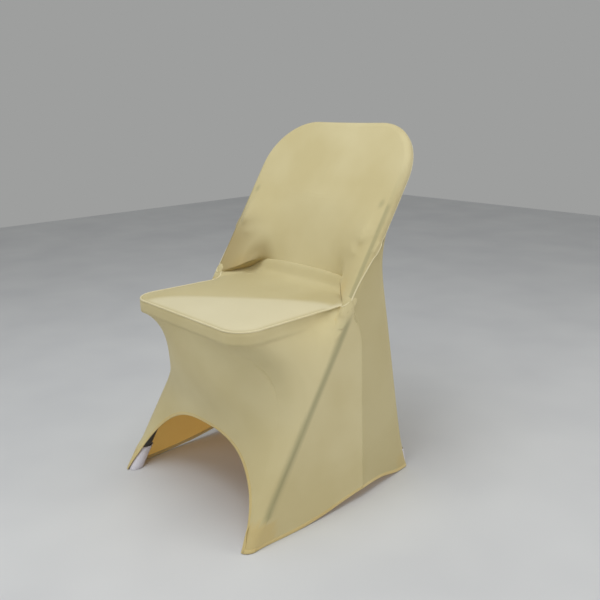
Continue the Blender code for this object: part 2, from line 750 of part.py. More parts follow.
def lumbar_panel(look, parent):
    """The fabric between the backrest and the seat's rear edge, stretched back between the tubes."""
    low_z, high_z = SEAT_EDGE_Z + 0.019, (SLEEVE_LOW - 0.0006) * math.cos(LEAN)

    def point(share, z):
        radius = SLEEVE_RADIUS + (FABRIC_OFF_TUBE - SLEEVE_RADIUS) * smooth((high_z - z) / 0.05)
        fall = smooth((high_z - z) / (high_z - low_z))
        if share <= 1:
            x = HALF_SPACING * share
            inside = max(0.0, 1 - (x / (REAR_TOP_X - LEG_RADIUS - 0.006)) ** (6 + 4 * fall))
            front = frame_y(z) - radius / math.cos(LEAN)
            return (x, front + bow(x) / math.cos(LEAN) * (1 - fall) + LUMBAR_DEPTH * fall**0.9 * inside, z)
        angle = (share - 1) * math.pi / 2
        at = on_frame(HALF_SPACING, z / math.cos(LEAN))
        reach = Vector((math.sin(angle) * radius, 0, 0)) + OUT_FRAME * radius * math.cos(angle)
        return tuple(at + reach)

    shares = [0, 0.2, 0.4, 0.55, 0.68, 0.77, 0.83, 0.87, 1.0, 1.33, 1.66, 2.0]
    rows = [high_z + (low_z - high_z) * k / 6 for k in range(7)]
    half = np.array([[point(share, z) for share in shares] for z in rows])
    left = half[:, :0:-1] * (-1, 1, 1)
    grid = np.concatenate([left, half], axis=1)
    shell = mesh_from("lumbar_panel", lambda bm: shell_from_grid(bm, grid, CLOTH))
    add_object("lumbar_panel", shell, look, parent)


def side_x(y, z):
    """X of the side fabric: straight from the seat's edge out to the main tube, then down to the hem."""
    touch_z = max((y - FOOT_Y) / math.tan(LEAN), 0.05)
    over_z = touch_z + SIDE_SPREAD_Z
    if z >= over_z:
        edge = seat_half_width(y)
        edge += (SIDE_X - edge) * smooth((y + 0.090) / 0.05)
        share = (SKIRT_TOP_Z - z) / max(SKIRT_TOP_Z - over_z, 1e-6)
        return edge + (SIDE_X - edge) * min(1.0, max(0.0, share))
    return SIDE_X + (HEM_SIDE_X - SIDE_X) * max(0.0, touch_z - z) / max(touch_z, 0.2)


def seam_y(z):
    """Y of the side seam: upright, and curved forward at its top to where the seat meets the tube."""
    return SEAM_Y + (SEAM_TOP_Y - SEAM_Y) * smooth((z - 0.36) / (SEAM_TOP_Z - 0.36))


def corner_y(z):
    """Y of the skirt's front corner, which the tension pulls in between the seat and the foot."""
    knots = [(0, -0.2700), (0.05, -0.2395), (0.12, -0.2000), (0.25, -0.1440), (0.34, -0.1620)]
    return through(knots + [(SKIRT_TOP_Z, SEAT_FRONT_Y)], z)


def front_y(z):
    """Y of the middle of the skirt's front."""
    knots = [(0, -0.2620), (0.10, -0.2170), (ARCH_Z, -0.1900), (0.30, -0.2210)]
    return through(knots + [(SKIRT_TOP_Z, SEAT_FRONT_Y)], z)


def skirt_front(look, parent):
    """The skirt's front and the sides back to the seam, hung from the seat's lower edge."""
    def arch_z(share):
        return 0.0015 + ARCH_Z * (1 - share**2.6) ** (1 / 1.85)

    def front_point(share, down):
        z_low = arch_z(share) if share < 1 else 0.0015
        z = SKIRT_TOP_Z + (z_low - SKIRT_TOP_Z) * down
        radius = corner_radius(z)
        y_corner = corner_y(z)
        edge_x = side_x(y_corner + radius, z) - radius
        y = front_y(z) + (y_corner - front_y(z)) * share**3
        return (edge_x * share, y, z)

    def corner_radius(z):
        return through([(0, 0.014), (0.25, 0.040), (SKIRT_TOP_Z, SEAT_FRONT_CORNER)], z)

    def corner_point(angle, down):
        z = SKIRT_TOP_Z + (0.0015 - SKIRT_TOP_Z) * down
        radius = corner_radius(z)
        y_corner = corner_y(z)
        x = side_x(y_corner + radius, z) - radius
        return (x + radius * math.sin(angle), y_corner + radius * (1 - math.cos(angle)), z)

    def side_point(share, down):
        low = 0.0015 + 0.0185 * smooth(share * 1.1)
        top = SKIRT_TOP_Z + (SEAM_TOP_Z - SKIRT_TOP_Z) * smooth((share - 0.72) / 0.28)
        z = top + (low - top) * down
        start = corner_y(min(z, SKIRT_TOP_Z)) + corner_radius(z)
        y = start + (seam_y(z) - 3 * GAP - start) * share
        if z > SKIRT_TOP_Z:
            return (SIDE_X, y, z)
        return (side_x(y, z), y, z)

    shares = [0, 0.15, 0.3, 0.45, 0.6, 0.72, 0.82, 0.9, 0.96, 0.99]
    columns = [(front_point, s) for s in shares]
    columns += [(corner_point, math.pi / 2 * k / 4) for k in range(5)]
    columns += [(side_point, s) for s in (0.15, 0.3, 0.45, 0.6, 0.72, 0.8, 0.87, 0.94, 1.0)]
    downs = [smooth(k / 9) * 0.35 + 0.65 * k / 9 for k in range(10)]
    half = np.array([[place(value, down) for place, value in columns] for down in downs])
    left = half[:, :0:-1] * (-1, 1, 1)
    grid = np.concatenate([left, half], axis=1)
    shell = mesh_from("skirt_front", lambda bm: shell_from_grid(bm, grid, CLOTH))
    add_object("skirt_front", shell, look, parent)


def rear_corner_y(z):
    """Y of the skirt's rear corner: behind the main tube above the leg pivot, behind the rear leg below."""
    behind_tube = frame_y(z) + (TUBE_RADIUS + 0.0035) / math.cos(LEAN)
    behind_leg = rear_leg_point(z).y + LEG_RADIUS + REAR_CORNER_CLEAR + 0.003 * smooth((0.1 - z) / 0.1)
    soft = 0.006
    return max(behind_tube, behind_leg) + soft * math.exp(-abs(behind_tube - behind_leg) / soft)


def skirt_rear(look, parent):
    """The back of the cover below the backrest, from one side seam round the rear legs to the other."""
    top_rear = on_frame(0, SLEEVE_LOW, -SLEEVE_RADIUS - CLOTH - FRAME_BOW).z - 2 * GAP

    def rear_x(z):
        share = smooth((LEG_PIVOT_Z - z) / LEG_PIVOT_Z)
        return SIDE_X + (REAR_FOOT_X + LEG_RADIUS + CAP_WALL + CLOTH + 0.0015 - SIDE_X) * share

    def tube_z(share):
        return SEAM_TOP_Z + (top_rear - SEAM_TOP_Z) * share

    def side_point(share, down):
        top = tube_z(share)
        low = 0.0015 + 0.0185 * (1 - smooth(share * 1.15))
        z = top + (low - top) * down
        last = rear_corner_y(z) - 0.012
        first = seam_y(z) + 3 * GAP
        y = first + (last - first) * share
        y = max(y, frame_y(z) + 0.0015)
        return (side_x(y, z) * (1 - share) + rear_x(z) * share, y, z)

    def corner_point(angle, down):
        z = top_rear + (0.0015 - top_rear) * down
        radius = 0.012
        x = rear_x(z) - radius
        y = rear_corner_y(z) - radius
        return (x + radius * math.cos(angle), y + radius * math.sin(angle), z)

    def rear_point(share, down):
        x_share = 1 - share
        low = 0.0015 + REAR_ARCH_Z * (1 - x_share**3.2) ** (1 / 1.8)
        z = top_rear + (low - top_rear) * down
        half = rear_x(z) - 0.012
        top_y = frame_y(top_rear) + (SLEEVE_RADIUS + FRAME_BOW) / math.cos(LEAN)
        knots = [(0, 0.214), (0.13, 0.193), (0.22, 0.178), (0.35, 0.160), (0.5, 0.150)]
        centre = through(knots + [(top_rear, top_y)], z)
        y = centre + (rear_corner_y(z) - centre) * x_share**2.5
        return (half * x_share, y, z)

    columns = [(side_point, s) for s in (0, 0.12, 0.25, 0.4, 0.55, 0.7, 0.85)]
    columns += [(corner_point, math.pi / 2 * k / 4) for k in range(5)]
    columns += [(rear_point, s) for s in (0.02, 0.06, 0.13, 0.22, 0.34, 0.5, 0.66, 0.82, 1.0)]
    half = np.array([[place(value, k / 10) for place, value in columns] for k in range(11)])
    left = half[:, -2::-1] * (-1, 1, 1)
    grid = np.concatenate([half, left], axis=1)
    shell = mesh_from("skirt_rear", lambda bm: shell_from_grid(bm, grid, CLOTH))
    add_object("skirt_rear", shell, look, parent)


def feet(rubber, lining, front_parent, rear_parent):
    """A rubber cap on each foot, and the lined fabric pocket that holds the cover to it."""
    def front_axis(side):
        return lambda z: Vector((side * HALF_SPACING, frame_y(z), z))

    def rear_axis(side):
        def at(z):
            point = rear_leg_point(z)
            return Vector((side * point.x, point.y, z))
        return at

    rear_lean = math.hypot(REAR_FOOT_Y - LEG_PIVOT.y, LEG_PIVOT_Z) / LEG_PIVOT_Z
    for place, axis, stretch, tube_radius, parent in (
        ("front", front_axis, 1 / math.cos(LEAN), TUBE_RADIUS, front_parent),
        ("rear", rear_axis, rear_lean, LEG_RADIUS, rear_parent),
    ):
        for side, word in ((-1, "left"), (1, "right")):
            cap_in = tube_radius + GAP
            cap_out = cap_in + CAP_WALL
            pocket_in = cap_out + GAP
            cap_low = CLOTH + GAP
            levels = (cap_low, cap_low + CAP_WALL, CAP_TOP_Z)
            cap = mesh_from("cap", lambda bm: foot_cup(bm, axis(side), stretch, cap_out, cap_in, *levels))
            add_object(f"{place}_foot_cap_{word}", cap, rubber, parent)
            levels = (0.0, CLOTH, POCKET_TOP_Z)
            pocket_out = pocket_in + CLOTH
            pocket = mesh_from("pocket", lambda bm: foot_cup(
                bm, axis(side), stretch, pocket_out, pocket_in, *levels))
            add_object(f"{place}_foot_pocket_{word}", pocket, lining, parent)


def empty(name, at):
    made = bpy.data.objects.new(name, None)
    bpy.context.scene.collection.objects.link(made)
    made.location = at
    made.empty_display_size = 0.05
    bpy.context.view_layer.update()
    return made


def main():
    for obj in list(bpy.data.objects):
        bpy.data.objects.remove(obj)
    steel = material("grey_enamel", (0.30, 0.30, 0.29), 0.4, 0.6)
    bare = material("zinc_steel", (0.62, 0.63, 0.64), 0.35, 1.0)
    rubber = material("grey_rubber", (0.16, 0.16, 0.16), 0.8)
    nylon = material("nylon", (0.85, 0.85, 0.82), 0.5)
    wood = material("plywood", (0.55, 0.40, 0.24), 0.7)
    vinyl = material("vinyl", (0.12, 0.11, 0.10), 0.5)
    fabric = material("champagne_fabric", (0.60, 0.52, 0.30), 0.75)
    lining = material("white_lining", (0.85, 0.85, 0.88), 0.85)

    root = empty("frame_at_floor", (0, 0, 0))
    seat = empty("seat_axis", SEAT_PIVOT)
    legs = empty("leg_axis", LEG_PIVOT)

    main_frame(steel, root)
    back_plate(steel, root)
    brace("front_brace", frame_y(FRONT_BRACE_Z), FRONT_BRACE_Z, HALF_SPACING - TUBE_RADIUS - GAP, steel, root)
    pivots(bare, root)

    for side in (-1, 1):
        rear_leg(side, steel, legs)
        leg_top_plug(side, nylon, legs)
        side_plate(side, bare, seat)
    brace_at = rear_leg_point(REAR_BRACE_Z)
    brace("rear_brace", brace_at.y, REAR_BRACE_Z, brace_at.x - LEG_RADIUS - 2 * GAP, steel, legs)
    slide_studs(bare, nylon, legs)

    seat_pieces(wood, vinyl, bare, seat)
    seat_cover(fabric, seat)
    seat_piping(fabric, seat)

    back_sleeve(fabric, root)
    lumbar_panel(fabric, root)
    skirt_front(fabric, root)
    skirt_rear(fabric, legs)
    feet(rubber, lining, root, legs)


main()
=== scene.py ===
"""Looks for the folding chair in its stretch-fabric cover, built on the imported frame.

Metres, +Z up. The chair faces -Y, and +X is on the right of someone who looks at its front. The cover is
sewn from panels that meet at shared seam curves: the back panel, the rear panel, the seat panel and the
skirt. Each is a grid of points between those curves, pulled tight over the tubes and given its thickness.
"""

import math

import bmesh
import bpy
import numpy as np
from mathutils import Euler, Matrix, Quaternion, Vector


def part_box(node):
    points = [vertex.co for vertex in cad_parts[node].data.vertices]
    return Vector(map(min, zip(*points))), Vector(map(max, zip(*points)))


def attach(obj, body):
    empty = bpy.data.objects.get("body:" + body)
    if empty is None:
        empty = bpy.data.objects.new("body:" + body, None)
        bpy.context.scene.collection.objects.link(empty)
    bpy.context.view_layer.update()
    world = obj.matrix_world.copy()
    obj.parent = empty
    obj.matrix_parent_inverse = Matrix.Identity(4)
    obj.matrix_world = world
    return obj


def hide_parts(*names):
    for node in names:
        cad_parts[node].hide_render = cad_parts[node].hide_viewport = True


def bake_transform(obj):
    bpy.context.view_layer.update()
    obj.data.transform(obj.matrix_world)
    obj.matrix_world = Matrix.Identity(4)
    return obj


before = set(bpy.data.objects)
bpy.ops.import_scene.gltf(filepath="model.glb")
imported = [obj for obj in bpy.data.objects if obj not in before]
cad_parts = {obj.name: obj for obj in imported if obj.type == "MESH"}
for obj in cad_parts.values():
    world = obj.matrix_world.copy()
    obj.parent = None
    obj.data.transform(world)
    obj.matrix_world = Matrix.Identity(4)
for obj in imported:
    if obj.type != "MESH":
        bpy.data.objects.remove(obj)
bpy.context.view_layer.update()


# -------- sizes from the frame
def middle(node):
    low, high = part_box(node)
    return (Vector(low) + Vector(high)) / 2


TUBE_RADIUS = 0.0111
LEG_RADIUS = 0.0095
SEAT_PIVOT = middle("seat_pivot_bolt_right")
LEG_PIVOT = middle("leg_pivot_bolt_right")
LEAN = math.atan2(LEG_PIVOT.y - SEAT_PIVOT.y, LEG_PIVOT.z - SEAT_PIVOT.z)
SIN_LEAN, COS_LEAN, TAN_LEAN = math.sin(LEAN), math.cos(LEAN), math.tan(LEAN)
HALF_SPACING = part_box("main_frame")[1][0] - TUBE_RADIUS
FOOT_Y = SEAT_PIVOT.y - TAN_LEAN * SEAT_PIVOT.z
REAR_FOOT = middle("rear_foot_pocket_right")
REAR_TOP_X = middle("leg_top_plug_right").x
LEG_LEAN = math.atan2(REAR_FOOT.y - LEG_PIVOT.y, LEG_PIVOT.z)
LEG_END_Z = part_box("leg_top_plug_right")[1][2]
PLATE_X = middle("side_plate_right").x
PLATE_LOW_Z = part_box("back_plate")[0][2]
BOLT_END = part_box("leg_pivot_bolt_right")[0][0] - 0.004
BOLT_HEAD_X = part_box("leg_pivot_bolt_right")[1][0] + 0.0014
POCKET_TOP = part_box("front_foot_pocket_right")[1][2]
FRAME_LENGTH = 0.7805 / COS_LEAN
FRAME_CORNER = 0.118
FRAME_BOW = 0.008

# How far the cloth lies from what is under it
CLOTH = 0.0009
ON_TUBE = TUBE_RADIUS + 0.0006
ON_LEG = LEG_RADIUS + 0.0014
FLOOR_GAP = 0.0018
POCKET_OUT = 0.0036
SPAN_GAP = 0.0026
TUCK = 0.0020
TUCK_ANGLE = 0.45

# The seat's edge, where the piping runs
SEAT_EDGE_Z = 0.428
SEAT_FRONT_Y = -0.2350
SEAT_REAR_Y = 0.0895
SEAT_FRONT_HALF = 0.1950
SEAT_WIDTH_Y = -0.2085
SEAT_TAPER = 0.0380
SEAT_CORNER = 0.050
SEAT_CROWN = 0.0125
SEAT_CENTRE_Y = -0.08
BAND_LOW_Z = 0.4015
PALE_FROM = (-0.148, -0.235)
PALE_SLOPE = 0.757

# The skirt. Shares are along its top edge, from the seat's front corner to the side seam.
SIDE_X = HALF_SPACING + 0.0150
HEM_SIDE_X = 0.2425
ARCH_HEIGHT = 0.172
REAR_ARCH_HEIGHT = 0.125
SEAM_Y = 0.0475
SEAM_TOP_Z = 0.4495
SEAM_BEND_Z = 0.355
JUNCTION = Vector((0.2065, 0.0180, 0.4360))
JUNCTION_SHARE = 0.94
CREASE_SHARE = 0.97
FRONT_COLUMNS = 26
MIRROR = (-1, 1, 1)


# -------- curves
def smooth(t):
    t = np.clip(t, 0.0, 1.0)
    return t * t * (3 - 2 * t)


def ramp(distance, soft):
    """distance where it's well above 0 and 0 where it's well below, with a soft bend between."""
    return soft * np.logaddexp(0.0, distance / soft)


def xyz(x, y, z):
    return np.stack(np.broadcast_arrays(x, y, z), axis=-1)


def unit(vectors):
    return vectors / np.maximum(np.linalg.norm(vectors, axis=-1, keepdims=True), 1e-9)


def through(knots, t, column=1):
    """A smooth curve through the knots' values in that column, where t is their first and rises."""
    knots = np.array(knots, float)
    ts, vs = knots[:, 0], knots[:, column]
    slopes = np.gradient(vs, ts)
    t = np.clip(t, ts[0], ts[-1])
    k = np.clip(np.searchsorted(ts, t) - 1, 0, len(ts) - 2)
    span = ts[k + 1] - ts[k]
    s = (t - ts[k]) / span
    value = (1 + 2 * s) * (1 - s) ** 2 * vs[k] + s * (1 - s) ** 2 * span * slopes[k]
    return value + s * s * (3 - 2 * s) * vs[k + 1] + s * s * (s - 1) * span * slopes[k + 1]


def frame_y(z):
    return FOOT_Y + TAN_LEAN * z


def tube_line(z):
    """(x, y) of the main tube's centre line on the +X side."""
    return HALF_SPACING, frame_y(z)


def leg_line(z):
    """(x, y) of the rear leg's centre line on the +X side."""
    share = 1 - z / LEG_PIVOT.z
    return REAR_TOP_X + (REAR_FOOT.x - REAR_TOP_X) * share, LEG_PIVOT.y + (REAR_FOOT.y - LEG_PIVOT.y) * share


def on_tube(z, angle, reach=ON_TUBE):
    """(x, y) on the +X main tube at height z, at an angle round it from its outer side to its front."""
    return HALF_SPACING + reach * np.cos(angle), frame_y(z) - reach * np.sin(angle) / COS_LEAN


SEAM_TOP = Vector((*on_tube(SEAM_TOP_Z, math.radians(45)), SEAM_TOP_Z))


def bow(x):
    return FRAME_BOW * np.maximum(0.0, 1 - (x / HALF_SPACING) ** 2)


def in_frame(x, along, out):
    """Points in the main frame's plane: along it from the floor, and out of it to the front."""
    return xyz(x, FOOT_Y + SIN_LEAN * along - COS_LEAN * out, COS_LEAN * along + SIN_LEAN * out)


def in_plane(points):
    """The nearest points of the main frame's middle plane."""
    out = points[:, 2] * SIN_LEAN - (points[:, 1] - FOOT_Y) * COS_LEAN
    return points - out[:, None] * np.array([0, -COS_LEAN, SIN_LEAN])


def seat_half_width(y):
    return SEAT_FRONT_HALF - SEAT_TAPER * (y - SEAT_WIDTH_Y)


def seam_angle(z):
    """Where the back seam lies round the tube, from its back at the top to its front at the seat."""
    return np.radians(-38 + 83 * smooth((0.60 - z) / 0.15))


TOP_SEAM_ANGLE = float(seam_angle(1.0))


def seam_y(z):
    """Y of the side seam: upright, and curved forward at its top to where the seat meets the tube."""
    bend = smooth((z - SEAM_BEND_Z) / (SEAM_TOP_Z - SEAM_BEND_Z))
    return SEAM_Y + (SEAM_TOP.y - SEAM_Y) * bend


def side_seam(z):
    """(x, y) of the seam between the rear panel and the panels in front of it."""
    x, y = on_tube(z, seam_angle(z))
    free = smooth((SEAM_TOP.z - z) / 0.045)
    return x + (side_x(seam_y(z), z) - x) * free, np.where(z > SEAM_TOP.z, y, seam_y(z))


def hem_z(y):
    """Height of the side hem: on the floor at both feet, lifted between them."""
    return FLOOR_GAP + through([
        (-0.27, 0), (-0.12, 0.0008), (-0.06, 0.0055), (-0.0155, 0.0120), (0.0535, 0.0185), (0.1225, 0.0155),
        (0.185, 0.0015), (0.22, 0),
    ], y)


def side_x(y, z):
    """X of the side fabric: from the seat's edge out to the main tube, then down to the hem."""
    touch_z = np.maximum((y - FOOT_Y) / TAN_LEAN, 0.05)
    over_z = touch_z + 0.022
    top = BAND_LOW_Z + (SEAT_EDGE_Z - BAND_LOW_Z) * smooth((y + 0.21) / 0.07)
    edge = seat_half_width(y)
    share = np.clip((top - z) / np.maximum(top - over_z, 1e-3), 0, 1)
    above = edge + (SIDE_X - edge) * share
    below = SIDE_X + (HEM_SIDE_X - SIDE_X) * np.maximum(0.0, touch_z - z) / np.maximum(touch_z, 0.2)
    return np.where(z >= over_z, above, below)


def corner_y(z):
    """Y of the skirt's front corner, which the tension pulls in between the seat and the foot."""
    knots = [(0, -0.2700), (0.05, -0.2395), (0.12, -0.2000), (0.25, -0.1440), (0.34, -0.1620)]
    return through(knots + [(BAND_LOW_Z, SEAT_FRONT_Y)], z)


def front_y(z):
    """Y of the middle of the skirt's front."""
    knots = [(0, -0.2620), (0.10, -0.2170), (ARCH_HEIGHT, -0.1900), (0.30, -0.2210)]
    return through(knots + [(BAND_LOW_Z, SEAT_FRONT_Y)], z)


def corner_radius(z):
    return through([(0, 0.014), (0.25, 0.040), (BAND_LOW_Z, SEAT_CORNER)], z)


def back_seam(x):
    """(y, z) of the seam between the back panel and the seat panel, from the middle to the tube."""
    knots = [
        (0, 0.1015, 0.4746), (0.10, 0.1015, 0.4715), (0.145, 0.1010, 0.4655), (0.165, 0.0985, 0.4560),
        (0.176, 0.0880, 0.4470), (0.190, 0.0620, 0.4410),
        (JUNCTION.x, JUNCTION.y + 0.010, JUNCTION.z + 0.001),
        (HALF_SPACING, float(on_tube(0.4375, math.pi / 2)[1]), 0.4375),
    ]
    return through(knots, np.abs(x)), through(knots, np.abs(x), 2)


def skirt_top(share):
    """The skirt's upper edge along one side: under the piping, then round the tube to the side seam."""
    y = through([
        (0, SEAT_FRONT_Y + SEAT_CORNER), (0.3, -0.115), (0.6, -0.055), (0.8, -0.018), (0.89, 0.003),
        (JUNCTION_SHARE, JUNCTION.y - 0.002), (CREASE_SHARE, 0.0120), (1, SEAM_TOP.y),
    ], share)
    out_and_up = [
        (0, 0, 0), (0.6, 0, 0), (0.8, 0.0012, 0.0005), (0.89, 0.0085, 0.0028),
        (JUNCTION_SHARE, 0.0200, 0.0080), (CREASE_SHARE, 0.0340, 0.0105), (1, 0.0435, 0.0215),
    ]
    x = seat_half_width(y) + through(out_and_up, share)
    return xyz(x, y, SEAT_EDGE_Z + through(out_and_up, share, 2))


# -------- grids of cloth
def grid_normals(grid):
    return unit(np.cross(np.gradient(grid, axis=0), np.gradient(grid, axis=1)))


def mirrored(half):
    """A half grid with X >= 0 and its mirror image, joined at the middle column."""
    return np.concatenate([half[:, :0:-1] * MIRROR, half], axis=1)


def push_off(grid, radius, lean, line, top_z):
    """Moves points that are inside a tube straight out to its surface, at their own height."""
    side = np.where(grid[..., 0] < 0, -1.0, 1.0)
    z = grid[..., 2]
    x, y = line(z)
    radius = radius + POCKET_OUT * smooth((POCKET_TOP + 0.012 - z) / 0.012)
    across = (grid[..., 0] * side - x) / radius
    along = (grid[..., 1] - y) * math.cos(lean) / radius
    reach = np.maximum(np.hypot(across, along), 1e-6)
    scale = np.where((reach < 1) & (z < top_z), 1 / reach, 1.0)
    grid[..., 0] = side * (x + across * scale * radius)
    grid[..., 1] = y + along * scale * radius / math.cos(lean)
    return grid


def off_main_tube(grid):
    return push_off(grid, ON_TUBE, LEAN, tube_line, 2.0)


def off_rear_leg(grid):
    return push_off(grid, ON_LEG, LEG_LEAN, leg_line, LEG_PIVOT.z + 0.012)


def outside_main_tube(grid):
    """As off_main_tube, but a point in the inner half of the tube goes to its front."""
    across = (np.abs(grid[..., 0]) - HALF_SPACING) / ON_TUBE
    front = frame_y(grid[..., 2]) - ON_TUBE * np.sqrt(np.maximum(0.0, 1 - across**2)) / COS_LEAN
    inner = (across > -1.15) & (across < 0.2) & (grid[..., 2] > 0.2)
    grid[..., 1] = np.where(inner, np.minimum(grid[..., 1], front), grid[..., 1])
    return push_off(grid, ON_TUBE + SPAN_GAP, LEAN, tube_line, 2.0)


def in_front(grid):
    """Keeps the front cloth in front of the main tubes and of the tops of the rear legs."""
    x, z = np.abs(grid[..., 0]), grid[..., 2]
    limit = np.full(x.shape, 1.0)
    leg_x, leg_y = leg_line(z)
    # Above the end of the leg there's nothing to touch, and the cloth runs back to the tubes' plane.
    leg_y = leg_y + 1.12 * ramp(z - LEG_END_Z - 0.009, 0.007)
    # Beside the round front, from this share of the radius, the cloth runs straight off at its slope.
    round_to = 0.7
    for centre_x, centre_y, radius, lean in (
        (HALF_SPACING, frame_y(z), ON_TUBE, LEAN),
        (leg_x, leg_y, ON_LEG + 0.0020, LEG_LEAN),
    ):
        across = np.abs(x - centre_x) / radius
        flank = 0.714 - 0.45 * (across - round_to)
        depth = np.where(across < round_to, np.sqrt(np.maximum(0.0, 1 - across**2)), flank)
        depth *= radius / math.cos(lean)
        limit = np.where(across < 6, np.minimum(limit, centre_y - depth), limit)
    # The pivots' nuts hold the cloth forward, level with the tubes, and it falls back below them.
    fall = 0.06 * smooth((LEG_PIVOT.z - 0.010 - z) / 0.05)
    limit = np.minimum(limit, on_tube(z, math.pi / 2)[1] + 0.002 + fall + 0.6 * ramp(BOLT_END - x, 0.004))
    grid[..., 1] = np.minimum(grid[..., 1], limit)
    return grid


def over_pivot_heads(grid):
    """Lifts the cloth a little over the heads of the pivots' bolts."""
    for pivot in (LEG_PIVOT, SEAT_PIVOT):
        away = np.hypot(grid[..., 1] - pivot.y, grid[..., 2] - pivot.z)
        x = np.abs(grid[..., 0])
        outer = x > HALF_SPACING + 0.8 * ON_TUBE
        lift = np.maximum(0, BOLT_HEAD_X - x) * smooth(1.9 - away / 0.011) * outer
        grid[..., 0] += np.sign(grid[..., 0]) * lift
    return grid


def neighbours_mean(grid):
    mean = grid.copy()
    mean[1:-1, 1:-1] = (grid[:-2, 1:-1] + grid[2:, 1:-1] + grid[1:-1, :-2] + grid[1:-1, 2:]) / 4
    return mean


def tighten(grid, held, steps, *contacts):
    """Evens the cloth out along its own normal, as tension does, where it isn't held."""
    for _ in range(steps):
        normal = grid_normals(grid)
        step = np.sum((neighbours_mean(grid) - grid) * normal, axis=2, keepdims=True) * normal
        grid = np.where(held[..., None], grid, grid + step)
        for contact in contacts:
            grid = np.where(held[..., None], grid, contact(grid.copy()))
    return grid


def relax(grid, held, steps, contact):
    """Spreads bunched points apart, so that the cloth doesn't lie over itself."""
    for _ in range(steps):
        grid = np.where(held[..., None], grid, contact((grid + neighbours_mean(grid)) / 2))
    return grid


def edges_held(grid, first_rows):
    held = np.zeros(grid.shape[:2], bool)
    held[:first_rows] = held[-1] = held[:, 0] = held[:, -1] = True
    return held


# -------- mesh pieces
def link(name, mesh, *looks):
    obj = bpy.data.objects.new(name, mesh)
    bpy.context.scene.collection.objects.link(obj)
    for look in looks:
        mesh.materials.append(look)
    return obj


def cloth(name, grid, normals, marks, looks, closed=False):
    """A sheet as thick as the cloth: its inner side is the grid, and its outer side stands off along normals.

    closed joins the last column to the first and fills the hole inside the first row.
    """
    rows, columns = grid.shape[:2]
    offset = rows * columns
    points = np.concatenate([grid.reshape(-1, 3), (grid + normals * CLOTH).reshape(-1, 3)])
    index = np.arange(offset).reshape(rows, columns)
    if closed:
        index = np.concatenate([index, index[:, :1]], axis=1)
        rim = index[-1, ::-1]
        ends = (rim[:-1], rim[1:])
    else:
        rim = np.concatenate([index[0], index[1:, -1], index[-1, -2::-1], index[-2:0:-1, 0]])
        ends = (rim, np.roll(rim, -1))
    corners = index[:-1, :-1], index[:-1, 1:], index[1:, 1:], index[1:, :-1]
    inside = np.stack(corners, axis=-1).reshape(-1, 4)
    faces = inside.tolist() + (inside[:, ::-1] + offset).tolist()
    faces += np.stack([ends[1], ends[0], ends[0] + offset, ends[1] + offset], axis=-1).tolist()
    slots = [1] * len(inside) + [0] * (len(faces) - len(inside))
    if closed:
        hole = index[0, :-1]
        faces += [hole[::-1].tolist(), (hole + offset).tolist()]
        slots += [1, 0]
    mesh = bpy.data.meshes.new(name)
    mesh.from_pydata(points.tolist(), [], faces)
    mesh.validate()
    obj = link(name, mesh, *looks)
    mesh.shade_smooth()
    mesh.polygons.foreach_set("material_index", np.array(slots, np.int32))
    for mark, values in marks.items():
        attribute = mesh.attributes.new(mark, "FLOAT", "POINT")
        attribute.data.foreach_set("value", np.tile(np.asarray(values, np.float32).ravel(), 2))
    both = np.concatenate([-normals.reshape(-1, 3), normals.reshape(-1, 3)])
    mesh.normals_split_custom_set_from_vertices(both.tolist())
    return obj


def loft(name, rings, look):
    """A solid through rings of points, with a cap on its first and its last."""
    sides = len(rings[0])
    faces = []
    for k in range(len(rings) - 1):
        for j in range(sides):
            one, two = k * sides + j, k * sides + (j + 1) % sides
            faces.append((one, two, two + sides, one + sides))
    faces.append(tuple(range(sides))[::-1])
    faces.append(tuple(range((len(rings) - 1) * sides, len(rings) * sides)))
    mesh = bpy.data.meshes.new(name)
    mesh.from_pydata(np.concatenate(rings).tolist(), [], faces)
    obj = link(name, mesh, look)
    bm = bmesh.new()
    bm.from_mesh(mesh)
    bmesh.ops.recalc_face_normals(bm, faces=bm.faces)
    bm.to_mesh(mesh)
    bm.free()
    mesh.shade_smooth()
    return obj


def sweep(name, path, section, inward, normal, look):
    """A strip with the given cross-section, as (inward, normal) offsets, along a path of points."""
    section = np.array(section)
    rings = path[:, None] + inward[:, None] * section[:, :1] + normal[:, None] * section[:, 1:]
    return loft(name, rings, look)


HEM_SECTION = [
    (-0.0010, 0.0), (-0.0004, 0.0013), (0.0010, 0.0016), (0.0062, 0.0014), (0.0070, 0.0006),
    (0.0070, -0.0003), (0.0010, -0.0007), (-0.0004, -0.0006),
]


def along_path(path):
    return unit(np.gradient(path, axis=0))


def hem(name, grid, normals, look, columns=slice(None)):
    """The turned and stitched edge of a panel: a flat band along its lowest row."""
    path = grid[-1, columns]
    ahead = along_path(path)
    inward = grid[-3, columns] - path
    inward -= np.sum(inward * ahead, axis=1, keepdims=True) * ahead
    return sweep(name, path, HEM_SECTION, unit(inward), normals[-1, columns], look)


def cord_seam(name, path, out, radius, look):
    """A corded seam along a path; out is its outward direction at each point."""
    ahead = along_path(path)
    side = unit(np.cross(ahead, out))
    turn = 2 * math.pi * np.arange(8) / 8
    section = radius * np.stack([np.cos(turn), np.sin(turn)], axis=-1)
    return sweep(name, path, section, side, np.cross(side, ahead), look)


